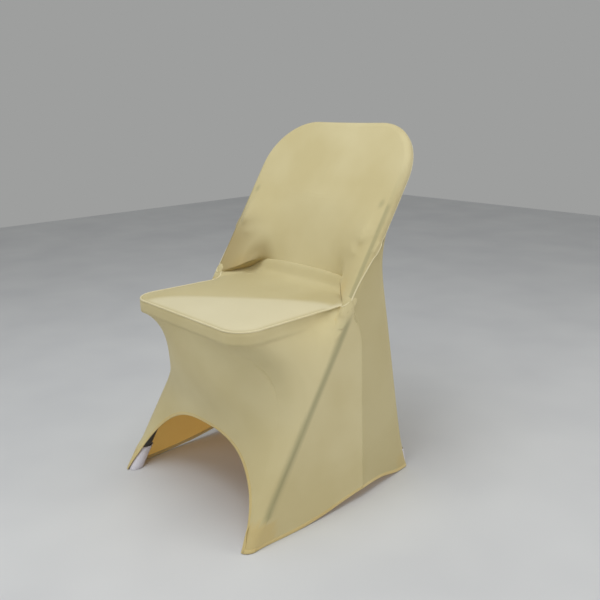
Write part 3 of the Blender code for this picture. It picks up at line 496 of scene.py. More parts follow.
# -------- the back panel
def sleeve_rows(low_along, straight_steps, shares, angles, side):
    """Rows of the backrest's cloth, flat from the spine, then round the tube, from the top down to low_along.

    side is 1 for the front and -1 for the back, and angles run round the tube from there to the back seam.
    """
    flat_half = HALF_SPACING - FRAME_CORNER
    top = FRAME_LENGTH - FRAME_CORNER
    # The outline, as x and along, with the outward direction there
    rows = [(flat_half * k / 10, FRAME_LENGTH, 0.0, 1.0) for k in range(10)]
    for k in range(17):
        across, up = math.sin(math.pi / 2 * k / 16), math.cos(math.pi / 2 * k / 16)
        rows.append((flat_half + FRAME_CORNER * across, top + FRAME_CORNER * up, across, up))
    for k in range(straight_steps):
        rows.append((HALF_SPACING, top + (low_along - top) * (k + 1) / straight_steps, 1.0, 0.0))
    grid = []
    for k, (x, along, out_x, out_along) in enumerate(rows):
        spine = top + (low_along - top) * smooth(k / (len(rows) - 1))
        flat = in_frame(x * shares, spine + (along - spine) * shares, side * ON_TUBE - bow(x * shares))
        reach = ON_TUBE * np.cos(angles[1:])
        beside = in_frame(x + out_x * reach, along + out_along * reach, ON_TUBE * np.sin(angles[1:]) - bow(x))
        grid.append(np.concatenate([flat, beside]))
    return np.array(grid)


def back_panel():
    """The backrest's front and the cloth below it, stretched back between the tubes to the seat's seam."""
    shares = 1 - (1 - np.linspace(0, 1, 30)) ** 1.5
    wrap = np.linspace(0, 1, 10)
    front = math.pi / 2
    high_along = PLATE_LOW_Z / COS_LEAN
    upper = sleeve_rows(high_along, 10, shares, front + (TOP_SEAM_ANGLE - front) * wrap, 1)
    x = HALF_SPACING * shares
    seam = xyz(x, *back_seam(x))
    low_along = (seam[-1, 2] - ON_TUBE * SIN_LEAN) / COS_LEAN
    lower = []
    steps = 44
    for fall in np.arange(1, steps + 1) / steps:
        flat = upper[-1, : len(shares)] * (1 - fall) + seam * fall
        along = high_along * (1 - fall) + low_along * fall
        end_angle = float(seam_angle(along * COS_LEAN + 0.012 * fall**3))
        angle = front + (end_angle - front) * wrap[1:]
        rise = 0.0166 * fall**3 * wrap[1:]
        tube = in_frame(HALF_SPACING + ON_TUBE * np.cos(angle), along + rise, ON_TUBE * np.sin(angle))
        lower.append(np.concatenate([flat, tube]))
    grid = mirrored(np.concatenate([upper, lower]))
    held = edges_held(grid, len(upper) - 6)
    wrapped = np.abs(np.arange(grid.shape[1]) - grid.shape[1] // 2) >= len(shares) - 1
    held[:, wrapped] = True
    grid = relax(tighten(grid, held, 110, in_front), held, 8, in_front)
    # The cloth hollows a little between the tubes, where nothing is behind it but the steel plate.
    row = np.arange(grid.shape[0])[:, None]
    hollow = 0.0016 * smooth(row / 20) * smooth((len(upper) + 8 - row) / 16)
    across = 1 - np.minimum(1, np.abs(grid[..., 0]) / (HALF_SPACING - 0.012)) ** 2
    grid[..., 1] += hollow * across
    grid = over_pivot_heads(grid)
    # It is tucked a little way under the seat and the skirt.
    down_tube = np.array([0, -0.012 * SIN_LEAN, -0.012 * COS_LEAN])
    tuck = grid[-1] + np.where(wrapped[:, None], down_tube, np.array([0, 0.001, -0.006]))
    return np.concatenate([grid, tuck[None]]), len(upper)


# -------- the rear panel
def rear_x(z):
    share = smooth((LEG_PIVOT.z - z) / LEG_PIVOT.z)
    return SIDE_X + (REAR_FOOT.x + LEG_RADIUS + 0.0045 - SIDE_X) * share


def rear_corner_y(z):
    """Y of the rear corner: behind the main tube above the leg pivot, behind the rear leg below it."""
    behind_tube = frame_y(z) + (TUBE_RADIUS + 0.0035) / COS_LEAN
    behind_leg = leg_line(z)[1] + LEG_RADIUS + 0.0040 + 0.003 * smooth((0.1 - z) / 0.1)
    soft = 0.006
    return np.maximum(behind_tube, behind_leg) + soft * np.exp(-np.abs(behind_tube - behind_leg) / soft)


def rear_panel():
    """The whole rear of the cover, from the top rail to the hem and round the rear legs to the side seams."""
    turn = np.linspace(0, math.pi / 2, 28)
    shares = np.sin(turn) ** (2 / 3.2)
    arch = np.cos(turn) ** (2 / 1.8)
    corner = np.linspace(0, math.pi / 2, 8)[1:]
    side = np.linspace(0, 1, 20)[1:]
    wrap = np.linspace(0, 1, 1 + len(corner) + len(side))
    rear = -math.pi / 2
    upper = sleeve_rows(0.735, 12, shares, rear + (TOP_SEAM_ANGLE - rear) * wrap, -1)
    start = upper[-1]
    radius = 0.012
    hem_y = float(rear_corner_y(0)) - radius
    hem_side = hem_z(hem_y + (SEAM_Y - hem_y) * side)
    low = np.concatenate([FLOOR_GAP + REAR_ARCH_HEIGHT * arch, 0 * corner + FLOOR_GAP, hem_side])
    centre_knots = [(0, 0.214), (0.13, 0.193), (0.22, 0.178), (0.35, 0.160), (0.5, 0.150)]
    centre_knots.append((start[0, 2], start[0, 1]))
    lower = []
    steps = 70
    for k in range(1, steps + 1):
        z = start[:, 2] + (low - start[:, 2]) * k / steps
        a, b, c = z[: len(shares)], z[len(shares) : -len(side)], z[-len(side) :]
        centre = through(centre_knots, a)
        y_a = centre + (rear_corner_y(a) - centre) * shares**2.5
        behind = xyz((rear_x(a) - radius) * shares, y_a, a)
        x_b = rear_x(b) - radius + radius * np.sin(corner)
        y_b = rear_corner_y(b) - radius + radius * np.cos(corner)
        seam_x, seam_at = side_seam(c)
        y_c = rear_corner_y(c) - radius
        beside = xyz(rear_x(c) + (seam_x - rear_x(c)) * side, y_c + (seam_at - y_c) * side, c)
        free = np.concatenate([behind, xyz(x_b, y_b, b), beside])
        carried = start + xyz(0, TAN_LEAN * (z - start[:, 2]), z - start[:, 2])
        share = smooth((start[:, 2] - z) / 0.07)[:, None]
        share[-1] = 1
        lower.append(carried * (1 - share) + free * share)
    grid = mirrored(np.concatenate([upper, lower]))[:, ::-1]
    held = edges_held(grid, len(upper))
    grid = over_pivot_heads(tighten(grid, held, 50, off_main_tube, off_rear_leg))
    # Its side edges are tucked a little way under the panels in front of it.
    under = []
    for k in (0, -1):
        edge, side = grid[:, k], math.copysign(1, grid[-1, k, 0])
        x, y = on_tube(edge[:, 2], seam_angle(edge[:, 2]) + TUCK_ANGLE, ON_TUBE - TUCK)
        low_tuck = edge - (side * 0.0016, 0.006, 0)
        high_tuck = edge - (edge - in_plane(edge)) * 0.16
        over = np.where(edge[:, 2:] > 0.62, high_tuck, xyz(side * x, y, edge[:, 2]))
        under.append(np.where(edge[:, 2:] > SEAM_TOP.z, over, low_tuck))
    return grid, under


# -------- the skirt
def skirt():
    """The skirt round the front to both side seams, and how many columns the tubes are from its middle."""
    turn = np.linspace(0, math.pi / 2, 40)[:-1]
    shares = np.sin(turn) ** (2 / 2.6)
    arch = np.cos(turn) ** (2 / 1.85)
    corners = np.linspace(0, math.pi / 2, 10)
    fronts = 1 - (1 - np.linspace(0, 1, FRONT_COLUMNS + 1)[1:]) ** 1.6
    gussets = np.linspace(0, 1, 25)[1:]
    band = np.linspace(0, 1, 6)
    main = np.concatenate([[0.004], np.linspace(0, 1, 60)[1:]])
    columns = []

    def heights(low_z, top_z=SEAT_EDGE_Z):
        edge = top_z - (SEAT_EDGE_Z - BAND_LOW_Z)
        return np.concatenate([top_z - (SEAT_EDGE_Z - BAND_LOW_Z) * band, edge + (low_z - edge) * main])

    def corner_frame(z):
        z = np.minimum(z, BAND_LOW_Z)
        radius, y = corner_radius(z), corner_y(z)
        return radius, y, side_x(y + radius, z) - radius

    for share, q in zip(shares, arch):
        z = heights(FLOOR_GAP + ARCH_HEIGHT * q)
        _, y, x = corner_frame(z)
        middle_y = front_y(np.minimum(z, BAND_LOW_Z))
        columns.append(xyz(x * share, middle_y + (y - middle_y) * share**3, z))
    z = heights(FLOOR_GAP)
    radius, y, x = corner_frame(z)
    for angle in corners:
        in_y = radius * (1 - math.cos(angle))
        columns.append(xyz(x + radius * math.sin(angle), y + in_y, z))
    for part, steps in (("front", fronts), ("gusset", gussets)):
        for v in steps:
            top = skirt_top(CREASE_SHARE * v if part == "front" else CREASE_SHARE + (1 - CREASE_SHARE) * v)
            low_z = 0.01
            for _ in range(3):
                low_z = float(hem_z(side_column_y(part, v, low_z)))
            z = heights(low_z, top[2])
            near_top = smooth((z - (top[2] - 0.045)) / 0.045)
            y = side_column_y(part, v, z) * (1 - near_top) + top[1] * near_top
            x = side_x(y, z) * (1 - near_top) + top[0] * near_top
            columns.append(xyz(x, y, z))
    grid = outside_main_tube(mirrored(np.array(columns).transpose(1, 0, 2)))
    held = edges_held(grid, len(band))
    grid = over_pivot_heads(tighten(grid, held, 45, outside_main_tube))
    # The band below the piping is doubled and stuffed out by the pad's edge, so it overhangs the skirt.
    ledge = np.zeros(grid.shape[:2])
    ledge[1 : len(band)] = 0.0018
    ledge[len(band)] = -0.0004
    place = np.abs(np.arange(grid.shape[1]) - grid.shape[1] // 2) - len(shares) - len(corners)
    grid = grid + (ledge * smooth(1 - place / (0.7 * FRONT_COLUMNS)))[..., None] * grid_normals(grid)
    return grid, len(shares) + len(corners) + len(fronts) - 1


def side_column_y(part, v, z):
    """Y of a column of the skirt's side, a share v from the corner to the tube or from there to the seam."""
    start = corner_y(np.minimum(z, BAND_LOW_Z)) + corner_radius(np.minimum(z, BAND_LOW_Z))
    crease = np.minimum(frame_y(z), seam_y(z) - 0.004)
    if part == "front":
        return start + (crease - start) * v
    return crease + (seam_y(z) - crease) * v


# -------- the seat panel
def pad_top(x, y):
    """Height of the padded seat: crowned, and full right out to its rounded edge."""
    u = x / seat_half_width(y)
    half_length = np.where(y < SEAT_CENTRE_Y, SEAT_CENTRE_Y - SEAT_FRONT_Y, SEAT_REAR_Y - SEAT_CENTRE_Y)
    v = (y - SEAT_CENTRE_Y) / half_length
    reach = (np.abs(u) ** 4.5 + np.abs(v) ** 4.5) ** (1 / 4.5)
    return SEAT_EDGE_Z + SEAT_CROWN * (1 - np.clip(reach, 0, 1) ** 4) ** 0.45


def seat_loop():
    """The +X half of the seat panel's edge, from its front middle round to its rear middle."""
    x_corner = seat_half_width(SEAT_FRONT_Y + SEAT_CORNER) - SEAT_CORNER
    front = [(x_corner * k / 14, SEAT_FRONT_Y, SEAT_EDGE_Z) for k in range(14)]
    for angle in math.pi / 2 * np.arange(12) / 12:
        y = SEAT_FRONT_Y + SEAT_CORNER * (1 - math.cos(angle))
        front.append((x_corner + SEAT_CORNER * math.sin(angle), y, SEAT_EDGE_Z))
    side = skirt_top(np.linspace(0, JUNCTION_SHARE, 34))
    x = JUNCTION.x * (1 - np.linspace(0, 1, 44) ** 1.35)
    rear = xyz(x, *back_seam(x))
    return np.concatenate([np.array(front), side, rear]), len(front) + len(side)


def seat_panel():
    """The seat's top, from the piping to the arched seam below the backrest."""
    loop, first_rear = seat_loop()
    centre = np.array([0, -0.075, 0])
    shares = 1 - (1 - np.linspace(0, 1, 34)) ** 1.7
    shares[0] = 0.004
    grid = centre + (loop - centre) * shares[:, None, None]
    away = np.hypot(grid[..., 0] - loop[:, 0], grid[..., 1] - loop[:, 1])
    slope = 0.45 + 2.75 * smooth((0.190 - np.abs(loop[:, 0])) / 0.03)
    pad = pad_top(grid[..., 0], grid[..., 1]) - SEAT_EDGE_Z
    line = loop[:, 2] - slope * away - SEAT_EDGE_Z
    # Towards the rear the cloth runs from the pad straight up to the seam, with a soft bend between.
    soft = 0.003
    is_rear = (np.arange(len(loop)) >= first_rear) * 1.0
    top = soft * np.log(np.exp(pad / soft) + is_rear * np.exp(line / soft)) + SEAT_EDGE_Z
    near = shares[:, None] ** 10
    grid[..., 2] = top * (1 - near) + loop[:, 2] * near
    return np.concatenate([grid, grid[:, -2:0:-1] * MIRROR], axis=1), loop, first_rear


# -------- each point's share of the fold
def seat_hold(points):
    """1 for a point that goes with the seat, falling to 0 at the junctions, which stay with the frame."""
    away = np.linalg.norm(np.abs(points) * (1, 0, 0) + points * (0, 1, 1) - np.array(JUNCTION), axis=-1)
    return smooth((away - 0.004) / 0.034)


def seam_hold(x):
    """How much of the seat's turn the seam below the backrest takes."""
    return 0.55 * (1 - smooth((np.abs(x) - 0.172) / 0.034))


def leg_hold(points):
    """0 on the main tube and 1 on the rear leg, by angle about the leg pivot, and 0 again above it."""
    y, z = points[..., 1] - LEG_PIVOT.y, points[..., 2] - LEG_PIVOT.z
    angle = np.arctan2(y * COS_LEAN - z * SIN_LEAN, -y * SIN_LEAN - z * COS_LEAN)
    angle = np.where(angle < -math.pi / 2, angle + 2 * math.pi, angle)
    behind = np.clip(angle / (LEAN + LEG_LEAN), 0, 1)
    return behind * (1 - smooth((angle - math.radians(75)) / math.radians(75)))


def follow(obj, weights):
    """Bakes the piece's transform into its mesh and lays out the share given for each of its points, between
    the main frame and another body; the shares are not stored, so the piece doesn't bend.
    """
    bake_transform(obj)
    values = np.asarray(weights, np.float32).ravel()
    values = np.tile(values, len(obj.data.vertices) // len(values))
    return obj


def follow_by(obj, weight_of):
    points = np.empty(len(obj.data.vertices) * 3, np.float32)
    obj.data.vertices.foreach_get("co", points)
    return follow(obj, weight_of(points.reshape(-1, 3).astype(float)))


def ridden(obj, body):
    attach(obj, body)
    return obj


# -------- materials
class Look:
    """A material's nodes, added and joined by name."""

    def __init__(self, name):
        self.material = bpy.data.materials.new(name)
        self.material.use_nodes = True
        self.tree = self.material.node_tree
        self.shader = self.tree.nodes["Principled BSDF"]
        self.place = self.add("ShaderNodeTexCoord").outputs["Object"]

    def add(self, kind, **inputs):
        node = self.tree.nodes.new(kind)
        for key, value in inputs.items():
            self.put(node.inputs[key.replace("_", " ")], value)
        return node

    def put(self, socket, value):
        if isinstance(value, bpy.types.NodeSocket):
            self.tree.links.new(value, socket)
        else:
            socket.default_value = value

    def noise(self, scale, detail=2.0, roughness=0.5):
        inputs = {"Vector": self.place, "Scale": scale, "Detail": detail, "Roughness": roughness}
        return self.add("ShaderNodeTexNoise", **inputs).outputs["Fac"]

    def cells(self, scale):
        return self.add("ShaderNodeTexVoronoi", Vector=self.place, Scale=scale).outputs["Distance"]

    def wave(self, scale, axis, distortion=0.0, detail=0.0):
        inputs = {"Vector": self.place, "Scale": scale, "Distortion": distortion, "Detail": detail}
        node = self.add("ShaderNodeTexWave", **inputs)
        node.wave_type = "BANDS"
        node.bands_direction = axis
        return node.outputs["Fac"]

    def math(self, operation, first, second):
        node = self.add("ShaderNodeMath")
        node.operation = operation
        self.put(node.inputs[0], first)
        self.put(node.inputs[1], second)
        return node.outputs[0]

    def mix(self, share, first, second):
        node = self.add("ShaderNodeMix")
        node.data_type = "RGBA"
        self.put(node.inputs["Factor"], share)
        colours = [x for x in node.inputs if x.type == "RGBA"]
        self.put(colours[0], first)
        self.put(colours[1], second)
        return next(x for x in node.outputs if x.type == "RGBA")

    def tint(self, colour, where, share, target):
        return self.mix(self.math("MULTIPLY", where, share), colour, target)

    def ranged(self, value, low, high, to_low=0.0, to_high=1.0):
        node = self.add("ShaderNodeMapRange", Value=value)
        for key, number in (("From Min", low), ("From Max", high), ("To Min", to_low), ("To Max", to_high)):
            node.inputs[key].default_value = number
        return node.outputs["Result"]

    def mark(self, name):
        node = self.add("ShaderNodeAttribute")
        node.attribute_name = name
        return node.outputs["Fac"]

    def bump(self, height, strength, distance):
        node = self.add("ShaderNodeBump", Height=height, Strength=strength, Distance=distance)
        self.put(self.shader.inputs["Normal"], node.outputs["Normal"])

    def set(self, **values):
        for key, value in values.items():
            self.put(self.shader.inputs[key.replace("_", " ")], value)
        return self


def rgb(red, green, blue):
    """A colour as a screen shows it, 0 to 255, in the linear values that a node takes."""
    shown = [c / 255 for c in (red, green, blue)]
    return (*(c / 12.92 if c <= 0.04045 else ((c + 0.055) / 1.055) ** 2.4 for c in shown), 1.0)


def knit(name, pale, deep, warm=None, sheen=0.25, roughness=0.62, knit_depth=1.0, glow=None):
    """Stretch knit: fine ribs of loops and soft blotches of colour.

    warm is given for a panel that carries marks: the tube showing through the cloth, and painted light and
    shade. It is the colour of the "fold" mark, painted shade in the back's pits and a warmer tint low over
    the feet.
    glow is painted light: an emission on the inner side, standing for the light that comes through the thin
    cloth.
    """
    look = Look(name)
    blotch = look.ranged(look.noise(5.0, 3.0), 0.35, 0.65)
    grain = look.ranged(look.noise(900.0, 2.0), 0.3, 0.7)
    colour = look.tint(look.mix(blotch, pale, deep), grain, 0.10, deep)
    if warm is not None:
        # In order: the tube showing through the cloth, with a painted shade spot; painted shade in pits, with
        # a warm tint low at the feet; painted shade; painted shade in the left hollow; painted light on the
        # seat's front.
        for mark, share, target in (
            ("tube", 0.45, rgb(112, 116, 84)),
            ("fold", 0.45, warm),
            ("painted_shade", 0.35, rgb(166, 154, 108)),
            ("deep", 0.62, rgb(128, 100, 38)),
            ("pale", 0.50, rgb(228, 221, 194)),
        ):
            colour = look.tint(colour, look.mark(mark), share, target)
    ribs = look.math("ADD", look.wave(420.0, "X"), look.wave(420.0, "Y"))
    loops = look.math("ADD", ribs, look.wave(560.0, "Z"))
    look.bump(look.math("ADD", loops, look.math("MULTIPLY", grain, 1.2)), 0.22 * knit_depth, 0.0006)
    rough = look.ranged(grain, 0, 1, roughness - 0.05, roughness + 0.06)
    look.set(Base_Color=colour, Roughness=rough, Sheen_Weight=sheen, Sheen_Roughness=0.45)
    look.set(Sheen_Tint=rgb(244, 236, 206), Specular_IOR_Level=0.28)
    if glow is not None:
        look.set(Emission_Color=glow, Emission_Strength=1.0)
    return look.material


def painted_steel():
    look = Look("dark_enamel_look")
    speckle = look.noise(260.0, 3.0)
    scuffs = look.ranged(look.noise(34.0, 6.0, 0.7), 0.62, 0.70)
    colour = look.mix(look.ranged(speckle, 0.4, 0.6), rgb(66, 66, 64), rgb(78, 78, 75))
    colour = look.tint(colour, scuffs, 0.5, rgb(138, 134, 126))
    look.bump(look.noise(420.0, 2.0), 0.12, 0.0004)
    rough = look.ranged(scuffs, 0, 1, 0.36, 0.55)
    return look.set(Base_Color=colour, Roughness=rough, Metallic=0.15, Coat_Weight=0.2).material


def zinc():
    look = Look("zinc_look")
    spangle = look.cells(240.0)
    colour = look.mix(look.ranged(spangle, 0.1, 0.7), rgb(186, 188, 190), rgb(148, 151, 154))
    colour = look.tint(colour, look.ranged(look.noise(60.0, 5.0), 0.64, 0.74), 0.4, rgb(122, 92, 62))
    look.bump(spangle, 0.08, 0.0004)
    rough = look.ranged(spangle, 0, 1, 0.30, 0.46)
    return look.set(Base_Color=colour, Roughness=rough, Metallic=0.9).material


def moulded(name, blotch, spread, light, dark, grain, strength, distance, **values):
    """Plain moulded rubber or plastic: soft blotches between two colours, and a fine grain."""
    look = Look(name)
    colour = look.mix(look.ranged(look.noise(*blotch), *spread), light, dark)
    look.bump(look.noise(grain, 2.0), strength, distance)
    return look.set(Base_Color=colour, **values).material


def plywood():
    look = Look("plywood_look")
    grain = look.wave(11.0, "X", 3.5, 3.0)
    fibres = look.noise(180.0, 5.0, 0.6)
    colour = look.mix(grain, rgb(190, 152, 104), rgb(160, 121, 78))
    colour = look.mix(look.ranged(fibres, 0.35, 0.75, 0.0, 0.35), colour, rgb(120, 86, 52))
    look.bump(look.math("ADD", grain, fibres), 0.2, 0.0006)
    return look.set(Base_Color=colour, Roughness=look.ranged(fibres, 0, 1, 0.6, 0.8)).material


def vinyl():
    look = Look("vinyl_look")
    leather = look.cells(420.0)
    colour = look.mix(look.ranged(look.noise(40.0, 3.0), 0.4, 0.6), rgb(56, 53, 50), rgb(70, 66, 62))
    look.bump(leather, 0.3, 0.0006)
    return look.set(Base_Color=colour, Roughness=look.ranged(leather, 0, 1, 0.38, 0.55)).material


fabric_look = knit("champagne_knit", rgb(214, 202, 158), rgb(204, 190, 142), warm=rgb(206, 178, 112))
# The cloth's inner side: a golden copy of the knit that glows, as painted light for the light coming through
# the thin cloth.
inside_look = knit(
    "champagne_knit_inside", rgb(216, 186, 116), rgb(206, 174, 102), sheen=0.1, roughness=0.75,
    glow=rgb(106, 82, 38),
)
hem_look = knit("champagne_hem", rgb(222, 205, 150), rgb(212, 190, 130), knit_depth=1.6)
# The piping and the corded seam round the backrest are paler than the cloth, as a painted highlight along the
# cords.
seam_look = knit("champagne_piping", rgb(236, 226, 190), rgb(228, 216, 174), sheen=0.35, knit_depth=1.6)
lining_look = knit("white_lining_look", rgb(228, 226, 234), rgb(214, 211, 222), sheen=0.2, roughness=0.75)
SAME_BOTH_SIDES = (fabric_look, fabric_look)
WITH_INSIDE = (fabric_look, inside_look)


# -------- the cover, sewn together
def make_back():
    grid, first_low = back_panel()
    rows = len(grid)
    normals = grid_normals(grid)
    x, z = np.abs(grid[..., 0]), grid[..., 2]
    # The stripe lies on the tube's front and outer side, from the plate's lower corner to the seat.
    turn = np.arctan2((frame_y(z) - grid[..., 1]) * COS_LEAN, x - HALF_SPACING)
    stripe = smooth(1.5 - np.abs(turn - math.radians(66)) / math.radians(20))
    stripe *= smooth((x - HALF_SPACING + 0.008) / 0.004)
    faint = 0.25 * smooth((z - PLATE_LOW_Z) / 0.01) * smooth((0.73 - z) / 0.06)
    stripe *= smooth((PLATE_LOW_Z + 0.010 - z) / 0.010) + faint
    # A painted shade: a dark spot at the plate's lower corner, where the cloth dips, added to the stripe.
    corner_away = np.hypot(x - HALF_SPACING + 0.014, (z - PLATE_LOW_Z - 0.006) * 0.8)
    stripe = np.maximum(stripe, 0.9 * smooth(1 - corner_away / 0.011))
    # Painted shade, warm, in the pit beside each tube low down.
    fold = smooth((0.03 - np.abs(x - 0.178)) / 0.03) * smooth((0.50 - z) / 0.05)
    # Painted shade on the left: the cloth there low down, and its hollow beside the tube, are painted darker
    # than on the right.
    left = grid[..., 0] < 0
    deep = 0.9 * smooth((0.62 - z) / 0.11) * smooth((0.105 - np.abs(x - 0.225)) / 0.10) * left
    hollow = 0.75 * smooth(1.15 - np.hypot(x - 0.150, 0.8 * (z - 0.472)) / 0.052) * left
    marks = {"tube": 0.8 * stripe, "fold": fold, "deep": np.maximum(deep, hollow)}
    back = cloth("cover_back_panel", grid, normals, marks, SAME_BOTH_SIDES)
    fall = np.clip((np.arange(rows) - first_low + 1) / (rows - first_low), 0, 1)[:, None]
    follow(back, seam_hold(grid[..., 0]) * smooth(fall))
    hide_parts("back_sleeve", "lumbar_panel")
    return back, grid, normals


def make_rear():
    grid, under = rear_panel()
    normals = grid_normals(grid)
    wide = np.concatenate([under[0][:, None], grid, under[1][:, None]], axis=1)
    wide_normals = np.concatenate([normals[:, :1], normals, normals[:, -1:]], axis=1)
    x, y, z = np.abs(wide[..., 0]), wide[..., 1], wide[..., 2]
    # A warmer tint low at the rear feet, and painted shade on the rear panel's lower sides.
    low = smooth((0.05 - z) / 0.02) * smooth((y - 0.17) / 0.02) * smooth((x - 0.19) / 0.01)
    side = smooth((x - 0.205) / 0.015) * smooth((0.60 - z) / 0.05)
    rear = cloth("cover_rear_panel", wide, wide_normals, {"fold": low, "painted_shade": side}, WITH_INSIDE)
    # In the folded chair the seat's side plates would hold the cloth off, so its share of the turn is less
    # there.
    radius = np.hypot(y - LEG_PIVOT.y, z - LEG_PIVOT.z)
    over_plates = smooth(1.3 - np.abs(radius - 0.130) / 0.055) * smooth(1.3 - np.abs(x - PLATE_X) / 0.050)
    follow(rear, leg_hold(wide) * (1 - 0.34 * over_plates))
    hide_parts("skirt_rear")
    return rear, grid, normals


def make_skirt():
    """The skirt as three sheets that meet at the tubes: one in front of them and a gusset behind each."""
    grid, crease = skirt()
    normals = grid_normals(grid)
    middle_column = grid.shape[1] // 2
    right, left = middle_column + crease, middle_column - crease
    x, y, z = np.abs(grid[..., 0]), grid[..., 1], grid[..., 2]
    # The main tube shows as a dark stripe through the cloth beside it, from the pocket to the seat.
    away = np.abs(y - frame_y(z)) * COS_LEAN / TUBE_RADIUS
    stripe = smooth((1.05 - away) / 0.95) * smooth((x - HALF_SPACING - 0.005) / 0.004)
    stripe *= smooth((z - 0.052) / 0.006) * smooth((0.430 - z) / 0.03)
    foot = smooth((0.050 - z) / 0.003) * smooth((-0.190 - y) / 0.015) * smooth((x - 0.16) / 0.02)
    marks = {"tube": stripe, "fold": foot}
    # The columns beside a tube get shares that keep them with it lower down; those in the middle get shares
    # that leave the seat sooner.
    beside = np.abs(np.arange(grid.shape[1]) - middle_column) - crease + FRONT_COLUMNS
    beside = np.clip(beside / FRONT_COLUMNS, 0, 1)
    reach = 0.170 * (1 - beside) + 0.020 * beside
    down = (z[0] - z - 0.026 * (1 - beside)) / reach
    weights = seat_hold(grid[0]) * (1 - smooth(down))
    weights[:, [left, right]] = 0
    pieces = {}
    for name, columns, body in (
        ("cover_skirt_front", slice(left, right + 1), "seat"),
        ("cover_skirt_gusset_right", slice(right, None), "rear_legs"),
        ("cover_skirt_gusset_left", slice(None, left + 1), "rear_legs"),
    ):
        part = grid[:, columns]
        piece_marks = {key: value[:, columns] for key, value in marks.items()}
        pieces[name] = cloth(name, part, normals[:, columns], piece_marks, WITH_INSIDE)
        follow(pieces[name], weights[:, columns] if body == "seat" else leg_hold(part))
    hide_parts("skirt_front")
    return pieces, grid, normals, (left, right)


def make_seat():
    grid, loop, first_rear = seat_panel()
    rows, columns = grid.shape[:2]
    normals = grid_normals(np.concatenate([grid[:, -1:], grid, grid[:, :1]], axis=1))[:, 1:-1]
    # Painted light: the front of the seat, left of a soft line across it, is painted paler. Behind the line,
    # and along the rounded rim at the front and sides, it gets painted shade.
    line = (grid[..., 1] - PALE_FROM[1]) - (grid[..., 0] - PALE_FROM[0]) * PALE_SLOPE
    pale = smooth(0.5 - line / 0.030)
    outward = np.linspace(0, 1, rows)[:, None]
    rim = smooth((outward - 0.80) / 0.16) * (np.abs(grid[..., 1] - SEAT_FRONT_Y) < 0.23) * 0.8
    marks = {"pale": pale * (1 - rim), "painted_shade": np.maximum(rim, 0.5 * (1 - pale))}
    seat = cloth("cover_seat_panel", grid, normals, marks, SAME_BOTH_SIDES, closed=True)
    order = np.minimum(np.arange(columns), 2 * len(loop) - 2 - np.arange(columns))
    at_seam = (order >= first_rear)[None, :] * smooth((outward - 0.78) / 0.22)
    follow(seat, seam_hold(loop[order][:, 0]) * at_seam + seat_hold(grid) * (1 - at_seam))
    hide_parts("seat_cover")
    return seat, loop, first_rear


back, back_grid, back_normals = make_back()
rear, rear_grid, rear_normals = make_rear()
skirts, skirt_grid, skirt_normals, (left_crease, right_crease) = make_skirt()
seat, seat_edge, seat_rear_start = make_seat()


# -------- hems, seams and piping
def make_hems():
    front = slice(left_crease, right_crease + 1)
    made = [ridden(hem("hem_skirt_front", skirt_grid, skirt_normals, hem_look, front), "frame")]
    for name, part in (("right", slice(right_crease, None)), ("left", slice(None, left_crease + 1))):
        strip = hem(f"hem_skirt_{name}", skirt_grid, skirt_normals, hem_look, part)
        made.append(follow_by(strip, leg_hold))
    made.append(follow_by(hem("hem_rear", rear_grid, rear_normals, hem_look), leg_hold))
    return made


def make_seams():
    """The corded seam from one seat junction up round the backrest to the other, and the flat seams."""
    start = skirt_top(np.linspace(0.955, 0.995, 5))
    start_out = [(0.3, -0.9, 0.1), (0.5, -0.8, 0.1), (0.7, -0.6, 0.1), (0.8, -0.5, 0.2), (0.8, -0.5, 0.2)]
    right = np.concatenate([start, back_grid[-2::-1, -1]])
    right_out = np.concatenate([start_out, back_normals[-2::-1, -1]])
    path = np.concatenate([right, (right * MIRROR)[-2::-1]])
    out = np.concatenate([right_out, (right_out * MIRROR)[-2::-1]])
    made = {"back": ridden(cord_seam("seam_backrest", path + out * 0.0006, out, 0.0016, seam_look), "frame")}
    for name, sign in (("right", 1), ("left", -1)):
        z = np.linspace(SEAM_TOP.z, float(hem_z(SEAM_Y)) + 0.001, 60)
        x, y = side_seam(z)
        path = xyz(sign * (x + CLOTH * 0.6), y, z)
        strip = cord_seam(f"seam_side_{name}", path, (sign, 0, 0), 0.0008, fabric_look)
        made[name] = follow_by(strip, leg_hold)
    x = np.linspace(-JUNCTION.x - 0.008, JUNCTION.x + 0.008, 121)
    path = xyz(x, *back_seam(x)) + (0, -0.0006, 0.0004)
    strip = cord_seam("seam_seat_back", path, (0, -0.9, 0.4), 0.0010, fabric_look)
    made["seat"] = follow_by(strip, lambda points: seam_hold(points[:, 0]))
    return made


def make_gather(name, side):
    """The gathered cloth where the skirt, the seat and the back meet on the tube, with small wrinkles."""
    low, high = 0.402, 0.452
    turn = np.linspace(math.radians(-35), math.radians(215), 42)[:, None]
    along = np.linspace(low, high, 24)[None, :]
    ends = smooth((turn - turn[0]) / 0.5) * smooth((turn[-1] - turn) / 0.5)
    ends = ends * smooth((along - low - 0.004) / 0.016) * smooth((high - along) / 0.014)
    wrinkle = 0.0005 * np.sin(7 * turn + 260 * along) + 0.0004 * np.sin(13 * turn - 150 * along)
    reach = ON_TUBE - 0.0003 + (0.0020 + wrinkle) * ends
    grid = in_frame(HALF_SPACING + reach * np.cos(turn), along / COS_LEAN, reach * np.sin(turn))
    grid = grid[::-1] if side > 0 else grid * MIRROR
    # The gathered cloth gets painted shade, strongest away from its ends.
    return ridden(cloth(name, grid, grid_normals(grid), {"painted_shade": 0.5 * ends}, SAME_BOTH_SIDES), "frame")


